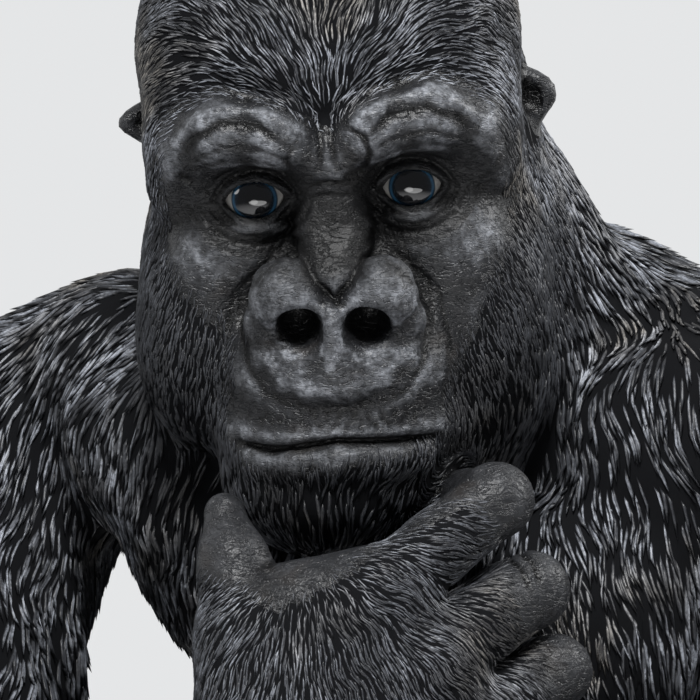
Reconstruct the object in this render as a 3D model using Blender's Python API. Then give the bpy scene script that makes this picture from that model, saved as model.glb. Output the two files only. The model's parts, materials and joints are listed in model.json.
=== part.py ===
"""Seated gorilla figurine, chin on its right hand: one cast body and two inset glossy eyes.

The body is modelled like clay. Rounded masses are blended into a signed distance (in millimetres) on a
grid, the surface is drawn through it, thinned to the triangles it needs and cut flat underneath.
World frame: metres, +Z up, the chest faces -Y, the gorilla's own left is +X, the origin is under the rump.
"""

import math

import bmesh
import bpy
import numpy as np
from mathutils import Matrix, Vector

MM = 0.001

# Whole figure, millimetres and degrees
EYE_HEIGHT = 608
EYE_SIDE = 19
EYE_FORWARD = 125
LOOK_TURN = 20
SHOULDER_SPREAD = 217
SHOULDER_HEIGHT = 456
HIP_SPREAD = 82
KNEE_SPREAD = 172
KNEE_HEIGHT = 132
UPPER_ARM_RADIUS = 66
FOREARM_RADIUS = 58
WRIST_RADIUS = 37
THIGH_RADIUS = 82
KNEE_RADIUS = 62
CHEST_WIDTH = 240
BELLY_WIDTH = 304
RUMP_WIDTH = 336

# Head, in its own frame: x to the gorilla's left, y back, z up, from the point midway between the eyes
HEAD_TURN = -2.5
HEAD_ROLL = 4.7
JAW_ROLL = 1.5
HEAD_BOW = 9
SKULL_WIDTH = 176
SKULL_TOP = 152
CHEEK_WIDTH = 186
BROW_REACH = 12
BROW_HEIGHT = 29
EYE_SPACING = 71
EYE_RADIUS = 16
EYE_DEPTH = 14
EYE_GAP = 0.35
LID_WIDTH = 26
LID_HEIGHT = 15.6
NOSE_WIDTH = 80
NOSE_DROP = 53
NOSE_REACH = 40
NOSTRIL_WIDTH = 17
NOSTRIL_SPACING = 29
MOUTH_DROP = 103
MOUTH_WIDTH = 88
LIP_REACH = 46
CHIN_DROP = 140
EAR_SPACING = 180
EAR_HEIGHT = 30

# Hands and feet
THUMB_RADIUS = 11.5
FINGER_RADIUS = 15
TOE_RADIUS = 11
FOOT_LENGTH = 140

# Coat: broad locks of hair
LOCK_SPACING = 61
LOCK_HEIGHT = 5.5

# Surface
GRID_STEP = 2.9
FAR = 40.0
BODY_TRIANGLES = 10500
MOST_DETAIL = 0.93
EYE_SEGMENTS = 16
EYE_RINGS = 10
RESIN_COLOUR = (0.035, 0.037, 0.042, 1)
EYE_COLOUR = (0.01, 0.02, 0.035, 1)


class Frame:
    """A place with its own x, y and z: it takes points to the world, and world arrays to its own."""

    def __init__(self, origin=(0, 0, 0), turn=0.0, roll=0.0, bow=0.0):
        turned = Matrix.Rotation(math.radians(turn), 3, "Z")
        rolled = Matrix.Rotation(math.radians(-roll), 3, "Y")
        bowed = Matrix.Rotation(math.radians(bow), 3, "X")
        self.axes = np.array(turned @ rolled @ bowed)
        self.origin = np.array(origin, float)

    def world(self, point):
        return self.origin + self.axes @ np.array(point, float)

    def local(self, grid):
        moved = [grid[i] - self.origin[i] for i in range(3)]
        return [sum(self.axes[j, i] * moved[j] for j in range(3)) for i in range(3)]


class Clay:
    """A block of space that holds the distance to the figure's surface, negative inside it."""

    def __init__(self, low, high, step):
        self.low = np.array(low, float)
        self.step = step
        count = np.ceil((np.array(high, float) - self.low) / step).astype(int) + 1
        self.axes = [self.low[i] + step * np.arange(count[i]) for i in range(3)]
        self.distance = np.full(count, FAR, np.float32)

    def window(self, points, reach):
        """The part of the block within reach of the points: its slices and its x, y and z."""
        points = np.array(points, float)
        first = np.floor((points.min(0) - reach - self.low) / self.step).astype(int)
        last = np.ceil((points.max(0) + reach - self.low) / self.step).astype(int) + 1
        part = tuple(
            slice(max(a, 0), max(min(b, n), 0)) for a, b, n in zip(first, last, self.distance.shape)
        )
        grid = np.meshgrid(*[ax[s] for ax, s in zip(self.axes, part)], indexing="ij", sparse=True)
        return part, grid

    def add(self, part, distance, soft):
        """Blends a mass in, with a fillet about as wide as soft."""
        old = self.distance[part]
        share = np.clip(0.5 + 0.5 * (old - distance) / soft, 0, 1)
        self.distance[part] = old * (1 - share) + distance * share - soft * share * (1 - share)

    def remove(self, part, distance, soft):
        """Cuts a mass out, with its rim rounded by about soft."""
        old = self.distance[part]
        share = np.clip(0.5 - 0.5 * (old + distance) / soft, 0, 1)
        self.distance[part] = old * (1 - share) - distance * share + soft * share * (1 - share)


def ball(clay, frame, centre, radii, soft=10, lean=(0, 0, 0), cut=False):
    """An ellipsoid. lean turns it about the frame's x, y and z, in degrees."""
    radii = np.array(radii, float)
    part, grid = clay.window([frame.world(centre)], radii.max() + FAR / 2 + soft)
    x, y, z = frame.local(grid)
    x, y, z = x - centre[0], y - centre[1], z - centre[2]
    if any(lean):
        turn = [Matrix.Rotation(math.radians(a), 3, axis) for a, axis in zip(lean, "XYZ")]
        axes = np.array(turn[2] @ turn[1] @ turn[0])
        x, y, z = [axes[0, i] * x + axes[1, i] * y + axes[2, i] * z for i in range(3)]
    near = np.sqrt((x / radii[0]) ** 2 + (y / radii[1]) ** 2 + (z / radii[2]) ** 2)
    slope = np.sqrt((x / radii[0] ** 2) ** 2 + (y / radii[1] ** 2) ** 2 + (z / radii[2] ** 2) ** 2)
    distance = near * (near - 1) / np.maximum(slope, 1e-6)
    (clay.remove if cut else clay.add)(part, distance, soft)


def limb(clay, frame, points, radii, soft=10, cut=False):
    """A round limb through the points, with its own radius at each."""
    for a, b, near, far in zip(points, points[1:], radii, radii[1:]):
        ends = [frame.world(a), frame.world(b)]
        part, grid = clay.window(ends, max(near, far) + FAR / 2 + soft)
        x, y, z = frame.local(grid)
        a, along = np.array(a, float), np.array(b, float) - np.array(a, float)
        x, y, z = x - a[0], y - a[1], z - a[2]
        share = (x * along[0] + y * along[1] + z * along[2]) / (along @ along)
        share = np.clip(share, 0, 1)
        gap = (x - share * along[0]) ** 2 + (y - share * along[1]) ** 2 + (z - share * along[2]) ** 2
        distance = np.sqrt(gap) - (near + (far - near) * share)
        (clay.remove if cut else clay.add)(part, distance, soft)


def crease(clay, frame, outline, width, depth, back=20, taper=0):
    """A groove (or with a negative depth a fold) drawn on the front along x, z points of a frame."""
    width = max(width, 1.25 * clay.step)
    ends = [frame.world((x, y, z)) for x, z in outline for y in (-90, back)]
    part, grid = clay.window(ends, 3 * width)
    x, y, z = frame.local(grid)
    gap = np.full(np.broadcast_shapes(x.shape, y.shape, z.shape), 1e6)
    for a, b in zip(outline, outline[1:]):
        along = np.array(b, float) - np.array(a, float)
        share = np.clip(((x - a[0]) * along[0] + (z - a[1]) * along[1]) / (along @ along), 0, 1)
        gap = np.minimum(gap, (x - a[0] - share * along[0]) ** 2 + (z - a[1] - share * along[1]) ** 2)
    fade = np.clip((back - y) / 10, 0, 1)
    if taper:
        first, last = outline[0], outline[-1]
        nearer = np.minimum(np.hypot(x - first[0], z - first[1]), np.hypot(x - last[0], z - last[1]))
        fade = fade * np.clip(nearer / taper + 0.25, 0, 1)
    clay.distance[part] += (depth * np.exp(-gap / width**2) * fade).astype(np.float32)


# Frames: the whole body, the view that the hand was posed in, and the head
BODY = Frame()
EYES = (EYE_SIDE, -EYE_FORWARD, EYE_HEIGHT)
VIEW = Frame(EYES, LOOK_TURN)
HEAD = Frame(EYES, LOOK_TURN + HEAD_TURN, HEAD_ROLL, HEAD_BOW)
JAW = Frame(EYES, LOOK_TURN + HEAD_TURN, JAW_ROLL, HEAD_BOW)

# Joints of the skeleton that two limbs share
RIGHT_SHOULDER = (-SHOULDER_SPREAD, 10, SHOULDER_HEIGHT + 6)
LEFT_SHOULDER = (SHOULDER_SPREAD - 11, 48, SHOULDER_HEIGHT - 10)
RIGHT_KNEE = (-KNEE_SPREAD, -178, KNEE_HEIGHT)
LEFT_KNEE = (KNEE_SPREAD + 18, -170, KNEE_HEIGHT)
RIGHT_ELBOW = (-KNEE_SPREAD + 4, -176, KNEE_HEIGHT + KNEE_RADIUS + 46)
LEFT_ELBOW = (LEFT_SHOULDER[0] + 56, -22, KNEE_HEIGHT + KNEE_RADIUS + 30)
RIGHT_WRIST = (-26, -66, -272)
LEFT_WRIST = (LEFT_KNEE[0] + 12, LEFT_KNEE[1] - 22, KNEE_HEIGHT + KNEE_RADIUS + 28)


def torso(clay):
    """Rump, belly, chest, back and the hump of the shoulders."""
    ball(clay, BODY, (16, 56, 94), (RUMP_WIDTH / 2, 138, 112), 30)
    ball(clay, BODY, (26, -6, 188), (BELLY_WIDTH / 2, 134, 118), 40)
    ball(clay, BODY, (20, 96, 200), (124, 92, 140), 30)
    ball(clay, BODY, (30, 44, 340), (CHEST_WIDTH / 2, 108, 120), 40)
    ball(clay, BODY, (20, 96, 400), (116, 92, 110), 30)
    ball(clay, BODY, (6, 84, 496), (120, 98, 110), 24)
    ball(clay, BODY, (112, 92, 430), (88, 66, 96), 40)
    ball(clay, BODY, (-72, 82, 432), (62, 58, 54), 24)
    ball(clay, BODY, (158, 50, 262), (66, 64, 96), 30)
    ball(clay, BODY, (92, -26, 396), (78, 50, 66), 24, (0, -14, 0))
    ball(clay, BODY, (-40, -22, 424), (46, 40, 44), 20)


def neck(clay):
    """The thick neck, from between the shoulders to the back of the skull and its crest."""
    limb(clay, BODY, [(4, 72, 500), (12, 16, 560), (14, -24, 620)], [94, 85, 70], 22)
    limb(clay, BODY, [(0, 60, 470), (14, -40, 520), (18, -70, 548)], [84, 70, 56], 24)
    limb(clay, BODY, [(-8, 96, 548), (-20, 34, 628)], [66, 58], 20)


def shoulders(clay):
    """The shoulders' caps, the slopes of muscle up to the neck and the right breast behind the hand."""
    limb(clay, BODY, [(-90, 78, 500), (-160, 39, 498), RIGHT_SHOULDER], [62, 56, 64], 20)
    breast = [(-104, 170, -104), (-66, 124, -130), (-26, 112, -184), (4, 110, -220)]
    limb(clay, VIEW, breast, [50, 48, 48, 44], 34)
    limb(clay, BODY, [(92, 78, 494), LEFT_SHOULDER], [84, 76], 30)
    ball(clay, BODY, (148, 14, 470), (68, 56, 72), 14)


def right_arm(clay):
    """From the shoulder out to the elbow on the right knee, then up to the wrist under the chin."""
    wrist = VIEW.world(RIGHT_WRIST)
    middle = (np.array(RIGHT_SHOULDER) * 0.5 + np.array(RIGHT_ELBOW) * 0.5) + (-18, 10, 0)
    radii = [66, UPPER_ARM_RADIUS, FOREARM_RADIUS + 6]
    limb(clay, BODY, [RIGHT_SHOULDER, middle, RIGHT_ELBOW], radii, 22)
    belly = np.array(RIGHT_ELBOW) * 0.62 + wrist * 0.38 + (0, 0, -4)
    limb(clay, BODY, [RIGHT_ELBOW, belly, wrist], [FOREARM_RADIUS, FOREARM_RADIUS + 2, WRIST_RADIUS + 4], 20)


def left_arm(clay):
    """Down the left side, with the forearm along the left thigh and the hand over the knee."""
    middle = (np.array(LEFT_SHOULDER) * 0.5 + np.array(LEFT_ELBOW) * 0.5) + (10, 8, 0)
    radii = [74, UPPER_ARM_RADIUS + 2, FOREARM_RADIUS + 6]
    limb(clay, BODY, [LEFT_SHOULDER, middle, LEFT_ELBOW], radii, 24)
    belly = np.array(LEFT_ELBOW) * 0.62 + np.array(LEFT_WRIST) * 0.38
    limb(clay, BODY, [LEFT_ELBOW, belly, LEFT_WRIST], [FOREARM_RADIUS, FOREARM_RADIUS + 3, WRIST_RADIUS], 20)


def foot(side, knee):
    """The ankle, the heel, the ball of the foot and the way it points."""
    ankle = np.array((side * 82 + 18, knee[1] - 96, 42))
    heel = ankle + (-side * 2, 16, -18)
    ahead = np.array((side * 0.16, -1, 0)) * FOOT_LENGTH
    return ankle, heel, heel + ahead * 0.72, ahead


def toe_limbs(side, knee):
    """Four toes and the thumb-like big toe: for each its joints, its radii and how softly it blends."""
    _, _, sole, ahead = foot(side, knee)
    limbs = []
    for number in range(4):
        spread = side * (number * 17.5 - 16)
        root = sole + (spread, -14 + 3 * number, -2)
        tip = root + ahead * (0.32 - 0.03 * number) + (side * 2 * number, 0, -6)
        knuckle = (root + tip) / 2 + (0, 0, 6)
        limbs.append(([root, knuckle, tip], [TOE_RADIUS + 1, TOE_RADIUS, TOE_RADIUS - 1], 3.5))
    big = sole + (-side * 30, 24, -4)
    reach = big + (-side * 24, -48, -3)
    limbs.append(([big, (big + reach) / 2 + (0, 0, 4), reach], [18, 15, 13], 6))
    return limbs


def leg(clay, side, knee):
    """Thigh, knee, shin and foot. side is -1 on the gorilla's right."""
    hip = (side * HIP_SPREAD + 20, 62, 98)
    ankle, heel, sole, _ = foot(side, knee)
    limb(clay, BODY, [hip, knee], [THIGH_RADIUS + 14, KNEE_RADIUS], 30)
    calf = np.array(knee) * 0.55 + ankle * 0.45 + (side * 4, 14, 4)
    limb(clay, BODY, [knee, calf, ankle], [KNEE_RADIUS - 4, 52, 38], 24)
    ball(clay, BODY, (side * 84 + 18, -196, 58), (78, 92, 66), 30)
    limb(clay, BODY, [heel, sole], [34, 29], 16)
    ball(clay, BODY, sole + (0, 8, 2), (42, 36, 26), 12)
    for joints, radii, soft in toe_limbs(side, knee):
        limb(clay, BODY, joints, radii, soft)


def right_hand_limbs():
    """The hand under the chin, in the view's frame: back of the hand, fingers, thumb and the web between."""
    wrist = np.array(RIGHT_WRIST, float)
    roots = [(20, -66, -174), (42, -72, -203), (62, -70, -230), (78, -62, -254)]
    knuckles = [(72, -36, -134), (87, -42, -173), (98, -42, -209), (102, -36, -243)]
    joints = [(62, 8, -140), (80, 2, -182), (90, 0, -216), (92, 4, -246)]
    tips = [(40, 14, -160), (56, 8, -196), (66, 4, -226), (68, 6, -250)]
    radii = [FINGER_RADIUS + extra for extra in (0.5, 1, 0, -1.5)]
    limbs = []
    for root, r in zip(roots, (22, 23, 22, 20)):
        limbs.append(([wrist, (wrist + np.array(root)) / 2, root], [WRIST_RADIUS, 27, r], 14))
    for root, knuckle, joint, tip, r in zip(roots, knuckles, joints, tips, radii):
        middle = (np.array(root) + np.array(knuckle)) / 2 + (0, -2, 2)
        limbs.append(([root, middle, knuckle, joint, tip], [r + 4, r, r + 0.5, r - 1, r - 2], 4))
    thumb = [(-33, -70, -226), (-37, -64, -192), (-43, -46, -162), (-48, -30, -141)]
    limbs.append((thumb, [28, THUMB_RADIUS + 9, THUMB_RADIUS + 2.5, THUMB_RADIUS - 2], 12))
    limbs.append(([(-32, -58, -186), (-14, -62, -177), (14, -66, -175)], [16, 15, 18], 10))
    return limbs


def right_hand(clay):
    """The hand under the chin: thumb up the right cheek, knuckles to the left."""
    for joints, radii, soft in right_hand_limbs():
        limb(clay, VIEW, joints, radii, soft)
    ball(clay, VIEW, (0, -62, -206), (44, 30, 50), 16, (0, 40, 0))


def left_hand_limbs():
    """The fingers that hang in front of the left knee, and the thumb beside it."""
    palm = np.array(LEFT_WRIST, float) + (-4, -46, -8)
    limbs = []
    for number in range(4):
        across = 32 - 21 * number
        root = palm + (across, -34, -8)
        knuckle = root + (across * 0.12, -24, -20)
        joint = knuckle + (0, -4, -36 + 3 * abs(number - 1))
        tip = joint + (-across * 0.1, 12, -22)
        r = FINGER_RADIUS - (1.5 if number == 0 else 0)
        limbs.append(([root, knuckle, joint, tip], [r + 2, r + 0.5, r - 1.5, r - 3], 3.5))
    thumb = [palm + (-26, 6, -6), palm + (-52, -16, -22), palm + (-60, -36, -42)]
    limbs.append((thumb, [19, 15, 12], 8))
    return limbs


def left_hand(clay):
    """The hand laid over the left knee."""
    ball(clay, BODY, np.array(LEFT_WRIST, float) + (-4, -46, -8), (46, 50, 25), 14, (20, 0, 0))
    for joints, radii, soft in left_hand_limbs():
        limb(clay, BODY, joints, radii, soft)


def skull(clay):
    """The dome with its crest, the temples, the jaws and the ruff of the cheeks."""
    half = SKULL_WIDTH / 2
    ball(clay, HEAD, (0, 92, 40), (half, 98, 84), 20)
    ball(clay, HEAD, (0, 92, 80), (half - 6, 84, SKULL_TOP - 80), 16)
    ball(clay, HEAD, (0, 54, 60), (half - 5, 62, 58), 20)
    ball(clay, JAW, (0, 64, -30), (CHEEK_WIDTH / 2 - 3, 60, 74), 20)
    for side in (-1, 1):
        ball(clay, JAW, (side * (CHEEK_WIDTH / 2 - 32), 44, -62), (34, 50, 62), 16, (0, side * -8, 0))
        ball(clay, HEAD, (side * 52, 34, 20), (34, 36, 40), 16)
    ball(clay, JAW, (0, 24, -108), (58, 48, 46), 20)


def brow(clay):
    """The bar of bone over the eyes: an arch over each, with a dip between them."""
    top = BROW_HEIGHT
    for side in (-1, 1):
        arch = [(side * 5, -BROW_REACH + 5, top - 9), (side * 22, -BROW_REACH + 3, top)]
        arch += [(side * 46, -BROW_REACH + 9, top + 3), (side * 64, 9, top - 5), (side * 73, 20, top - 24)]
        limb(clay, HEAD, arch, [11, 13.5, 14.5, 13, 11], 8)
        ball(clay, HEAD, (side * 47, 12, -27), (25, 18, 20), 12)


def eye_pits(clay):
    """Hollows beside the nose, and the lids as one bulge over each eye."""
    for side in (-1, 1):
        eye = (side * EYE_SPACING / 2, EYE_DEPTH, 0)
        ball(clay, HEAD, (eye[0] - side * 1, -10, -3), (21, 17, 15), 10, cut=True)
        ball(clay, HEAD, (eye[0] - side * 16, -16, -14), (9, 12, 14), 8, cut=True)
        ball(clay, HEAD, (eye[0], EYE_DEPTH, 0), (EYE_RADIUS + 3.5, EYE_RADIUS + 2.4, EYE_RADIUS - 1), 4)
        ball(clay, HEAD, (eye[0] + side * 1, 4, -13), (15, 9, 6), 5)


def nose(clay):
    """The bridge, the two round lobes, their wings and the open nostrils."""
    low = -NOSE_DROP
    limb(clay, JAW, [(0, 4, 10), (0, -8, -20), (0, -20, -36)], [15, 13, 16], 14)
    ball(clay, JAW, (0, -NOSE_REACH + 26, low - 8), (35, 24, 30), 12)
    for side in (-1, 1):
        ball(clay, JAW, (side * 19, -NOSE_REACH + 12, low + 13), (19, 17, 17), 6)
        wing = [(side * 22, -NOSE_REACH + 12, low + 16), (side * 31, -NOSE_REACH + 17, low)]
        wing += [(side * 28, -NOSE_REACH + 15, low - 16), (side * 13, -NOSE_REACH + 12, low - 27)]
        limb(clay, JAW, wing, [13, NOSE_WIDTH / 2 - 31, 9, 8], 5)
    ball(clay, JAW, (0, -NOSE_REACH + 5, low - 4), (7, 12, 18), 7)
    for side in (-1, 1):
        centre = (side * NOSTRIL_SPACING / 2 + side, -NOSE_REACH, low)
        ball(clay, JAW, centre, (NOSTRIL_WIDTH / 2 + 1.2, 21, 9.5), 5, (14, side * 12, 0), cut=True)
    notch = [(-15, low + 29), (-7, low + 19), (1, low + 12), (8, low + 19), (16, low + 30)]
    crease(clay, JAW, notch, 4.5, 3, taper=9)
    under = [(-38, low - 12), (-28, low - 29), (-12, low - 36), (8, low - 36), (27, low - 28)]
    crease(clay, JAW, [*under, (38, low - 10)], 5, 1.9, taper=12)


def muzzle(clay):
    """The upper lip, the mouth and the lower lip over the chin."""
    low, half = -MOUTH_DROP, MOUTH_WIDTH / 2
    ball(clay, JAW, (0, -LIP_REACH + 46, low + 24), (half + 8, 44, 34), 14)
    ball(clay, JAW, (0, -LIP_REACH + 46, low - 2), (half + 9, 43, 22), 12)
    ball(clay, JAW, (-4, -1, -CHIN_DROP + 10), (50, 40, 37), 14)
    mouth = [(-half, low + 1), (-half * 0.66, low - 4), (0, low - 1), (half * 0.6, low + 1), (half, low + 2)]
    lip = [(x, 5 - 42 * math.sqrt(1 - (x / (half + 9)) ** 2), low - 10) for x in (-36, -20, 0, 20, 36)]
    limb(clay, JAW, lip, [4, 6.5, 7.5, 6.5, 4], 8)
    crease(clay, JAW, mouth, 2.6, 3.6, taper=16)


def ears(clay):
    """Two small round ears, each with a rim around a hollow. The right one lies back into the coat."""
    for side, out, up, size in ((-1, -2, 7, 0.66), (1, 0.5, 3, 1)):
        tilt = (0, side * 10, side * -24)
        x, z = side * (EAR_SPACING / 2 + out), EAR_HEIGHT - 10 + up
        ball(clay, HEAD, (x, 84, z + 3 * size), (15.5, 8, 12 * size), 4, tilt)
        ball(clay, HEAD, (x - side * 3, 84, z - 6 * size), (11, 7.5, 12 * size), 4, tilt)
        ball(clay, HEAD, (x + side * 1, 76, z + 2 * size), (8, 5.5, 7 * size), 3, tilt, cut=True)


def fine_places():
    """Where the head, the ears, the hands and the toes are, and how far the fine shapes of each reach."""
    places = [(HEAD.world((0, 10, -40)), 110), (VIEW.world((36, -40, -200)), 96)]
    places += [(np.array(LEFT_WRIST) + (0, -60, -40), 66)]
    places += [(HEAD.world((side * EAR_SPACING / 2, 84, EAR_HEIGHT - 10)), 26) for side in (-1, 1)]
    places += [(np.array((knee[0] * 0.55, knee[1] - 200, 16)), 70) for knee in (RIGHT_KNEE, LEFT_KNEE)]
    return places


def locks(clay):
    """Broad locks of hair that hang down the body, with grooves between them."""
    near = [index + 1 for index in np.nonzero(np.abs(clay.distance[1:-1, 1:-1, 1:-1]) < 4)]
    x, y, z = [axis[index] for axis, index in zip(clay.axes, near)]
    facing = []
    for axis in (0, 1):
        ahead, behind = list(near), list(near)
        ahead[axis], behind[axis] = near[axis] + 1, near[axis] - 1
        slope = (clay.distance[tuple(ahead)] - clay.distance[tuple(behind)]) / (2 * clay.step)
        facing.append(np.clip(1.05 - slope**2, 0.05, 1))
    sway = 14 * np.sin(z / 47) + 8 * np.sin(z / 21 + 1)
    across = np.sin(math.pi * (x + sway) / LOCK_SPACING) ** 2
    along = np.sin(math.pi * (y + sway) / LOCK_SPACING) ** 2
    lobe = (across * facing[0] + along * facing[1]) / (facing[0] + facing[1])
    share = np.ones(len(x))
    for centre, reach in fine_places():
        away = np.sqrt((x - centre[0]) ** 2 + (y - centre[1]) ** 2 + (z - centre[2]) ** 2) / reach
        share = np.minimum(share, np.clip(away * 2.5 - 2.5, 0, 1))
    clay.distance[tuple(near)] -= (LOCK_HEIGHT * (lobe - 0.5) * share).astype(np.float32)


def figure(low, high, step):
    """The whole figure as clay in a block from low to high, before its underside is cut flat."""
    clay = Clay(low, high, step)
    torso(clay)
    shoulders(clay)
    left_arm(clay)
    leg(clay, -1, RIGHT_KNEE)
    leg(clay, 1, LEFT_KNEE)
    left_hand(clay)
    neck(clay)
    skull(clay)
    brow(clay)
    eye_pits(clay)
    muzzle(clay)
    nose(clay)
    ears(clay)
    right_arm(clay)
    right_hand(clay)
    locks(clay)
    return clay


def untangle(inside):
    """Fills grid points until no square of the grid is crossed corner to corner: the skin is one sheet."""
    for _ in range(6):
        changed = False
        for a, b in ((0, 1), (0, 2), (1, 2)):
            grid = np.moveaxis(inside, (a, b), (0, 1))
            p, q, r, s = grid[:-1, :-1], grid[1:, :-1], grid[:-1, 1:], grid[1:, 1:]
            one = p & s & ~q & ~r
            two = q & r & ~p & ~s
            if one.any() or two.any():
                changed = True
                grid[1:, :-1] |= one
                grid[:-1, :-1] |= two
        if not changed:
            break
    return inside


def skin(clay):
    """The surface where the distance is zero: one point in each grid cell that it crosses."""
    inside = untangle(clay.distance < 0)
    distance = np.where(inside, np.minimum(clay.distance, -1e-3), np.maximum(clay.distance, 1e-3))
    cells = tuple(n - 1 for n in distance.shape)
    total = np.zeros((*cells, 3), np.float32)
    count = np.zeros(cells, np.float32)
    crossings = {}
    for axis in range(3):
        d = np.moveaxis(distance, axis, 0)
        a, b = d[:-1], d[1:]
        crossed = (a < 0) != (b < 0)
        share = np.where(crossed, a / np.where(crossed, a - b, 1), 0)
        crossings[axis] = np.moveaxis(crossed, 0, axis)
        share = np.moveaxis(share, 0, axis)
        others = [i for i in range(3) if i != axis]
        for u in (0, 1):
            for v in (0, 1):
                pick = [slice(None)] * 3
                pick[others[0]] = slice(u, u + cells[others[0]])
                pick[others[1]] = slice(v, v + cells[others[1]])
                hit = crossings[axis][tuple(pick)]
                count += hit
                total[..., axis] += share[tuple(pick)]
                total[..., others[0]] += hit * u
                total[..., others[1]] += hit * v
    used = count > 0
    index = np.full(cells, -1)
    index[used] = np.arange(used.sum())
    places = np.argwhere(used) + total[used] / count[used][:, None]
    points = clay.low + places * clay.step
    faces = []
    for axis in range(3):
        u, v = [i for i in range(3) if i != axis]
        at = np.argwhere(crossings[axis])
        at = at[(at[:, u] > 0) & (at[:, v] > 0) & (at[:, u] < cells[u]) & (at[:, v] < cells[v])]
        corners = []
        for du, dv in ((-1, -1), (0, -1), (0, 0), (-1, 0)):
            cell = at.copy()
            cell[:, u] += du
            cell[:, v] += dv
            corners.append(index[tuple(cell.T)])
        quad = np.stack(corners, 1)
        entering = distance[tuple(at.T)] > 0
        flip = entering if axis != 1 else ~entering
        quad[flip] = quad[flip][:, ::-1]
        faces.append(quad)
    return points, np.concatenate(faces)


def new_mesh(name, points, faces):
    mesh = bpy.data.meshes.new(name)
    mesh.from_pydata([tuple(p) for p in points], [], [tuple(int(i) for i in f) for f in faces])
    mesh.update()
    return mesh


def new_object(name, mesh, material):
    thing = bpy.data.objects.new(name, mesh)
    bpy.context.scene.collection.objects.link(thing)
    if material:
        mesh.materials.append(material)
    return thing


def plain_material(name, colour, roughness):
    material = bpy.data.materials.new(name)
    material.use_nodes = True
    shader = material.node_tree.nodes["Principled BSDF"]
    shader.inputs["Base Color"].default_value = colour
    shader.inputs["Roughness"].default_value = roughness
    shader.inputs["Metallic"].default_value = 0.0
    return material


def keep_largest(mesh):
    """Drops any crumb of clay that the blending left apart from the figure."""
    shape = bmesh.new()
    shape.from_mesh(mesh)
    seen, groups = set(), []
    for start in shape.verts:
        if start in seen:
            continue
        group, waiting = [], [start]
        seen.add(start)
        while waiting:
            vert = waiting.pop()
            group.append(vert)
            for edge in vert.link_edges:
                other = edge.other_vert(vert)
                if other not in seen:
                    seen.add(other)
                    waiting.append(other)
        groups.append(group)
    groups.sort(key=len)
    for group in groups[:-1]:
        bmesh.ops.delete(shape, geom=group, context="VERTS")
    shape.to_mesh(mesh)
    shape.free()


def applied(thing):
    """The object's mesh with its modifiers worked in."""
    graph = bpy.context.evaluated_depsgraph_get()
    mesh = bpy.data.meshes.new_from_object(thing.evaluated_get(graph))
    thing.modifiers.clear()
    thing.data = mesh
    return mesh


def detail_weights(thing):
    """A vertex group that keeps more triangles on the head and hands than on the body."""
    group = thing.vertex_groups.new(name="detail")
    points = np.array([v.co for v in thing.data.vertices]) / MM
    weight = np.zeros(len(points))
    for centre, reach in fine_places():
        weight = np.maximum(weight, np.clip(1.4 - np.linalg.norm(points - centre, axis=1) / reach, 0, 1))
    for step in range(11):
        chosen = np.flatnonzero(np.round(weight * 10) == step)
        if len(chosen):
            group.add(chosen.tolist(), MOST_DETAIL * step / 10, "REPLACE")
    return group


def flat_underside(thing):
    """Cuts the figure off at the height it stands on and closes it with flat faces."""
    shape = bmesh.new()
    shape.from_mesh(thing.data)
    everything = shape.verts[:] + shape.edges[:] + shape.faces[:]
    cut = bmesh.ops.bisect_plane(
        shape, geom=everything, plane_co=(0, 0, 0), plane_no=(0, 0, -1), clear_outer=True
    )
    rim = [e for e in cut["geom_cut"] if isinstance(e, bmesh.types.BMEdge)]
    bmesh.ops.triangle_fill(shape, use_beauty=True, edges=rim, normal=(0, 0, -1))
    bmesh.ops.recalc_face_normals(shape, faces=shape.faces[:])
    shape.to_mesh(thing.data)
    shape.free()


def eye_centre(side):
    return Vector(HEAD.world((side * EYE_SPACING / 2, EYE_DEPTH, 0)) * MM)


def eyeball(name, side, radius, material, segments=EYE_SEGMENTS, rings=EYE_RINGS):
    """A ball with a pole at the pupil."""
    shape = bmesh.new()
    bmesh.ops.create_uvsphere(shape, u_segments=segments, v_segments=rings, radius=radius * MM)
    facing = Matrix.Rotation(math.radians(90), 3, "X")
    bmesh.ops.rotate(shape, verts=shape.verts, cent=(0, 0, 0), matrix=facing)
    mesh = bpy.data.meshes.new(name)
    shape.to_mesh(mesh)
    shape.free()
    mesh.shade_smooth()
    thing = new_object(name, mesh, material)
    thing.matrix_world = Matrix.Translation(eye_centre(side)) @ Matrix(HEAD.axes.tolist()).to_4x4()
    return thing


def lid_cutter(name, side):
    """An almond-shaped bar that opens the lids in front of the eye."""
    half, tall, count = LID_WIDTH / 2, LID_HEIGHT / 2, 8
    arc = [math.pi * i / count for i in range(count)]
    outline = [(half * math.cos(a), tall * math.sin(a) ** 0.8) for a in arc]
    outline += [(-x, -z) for x, z in outline]
    points = [(x, y, z) for y in (-24, 0) for x, z in outline]
    count = len(outline)
    faces = [tuple(range(count))[::-1], tuple(range(count, 2 * count))]
    faces += [(i, (i + 1) % count, count + (i + 1) % count, count + i) for i in range(count)]
    mesh = new_mesh(name, np.array(points) * MM, faces)
    cutter = new_object(name, mesh, None)
    cutter.matrix_world = Matrix.Translation(eye_centre(side)) @ Matrix(HEAD.axes.tolist()).to_4x4()
    shape = bmesh.new()
    shape.from_mesh(mesh)
    bmesh.ops.recalc_face_normals(shape, faces=shape.faces[:])
    shape.to_mesh(mesh)
    shape.free()
    return cutter


def cut_away(thing, cutter):
    cutter.hide_render = True
    cutter.display_type = "WIRE"
    boolean = thing.modifiers.new("cut_" + cutter.name, "BOOLEAN")
    boolean.operation = "DIFFERENCE"
    boolean.solver = "EXACT"
    boolean.object = cutter


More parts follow.
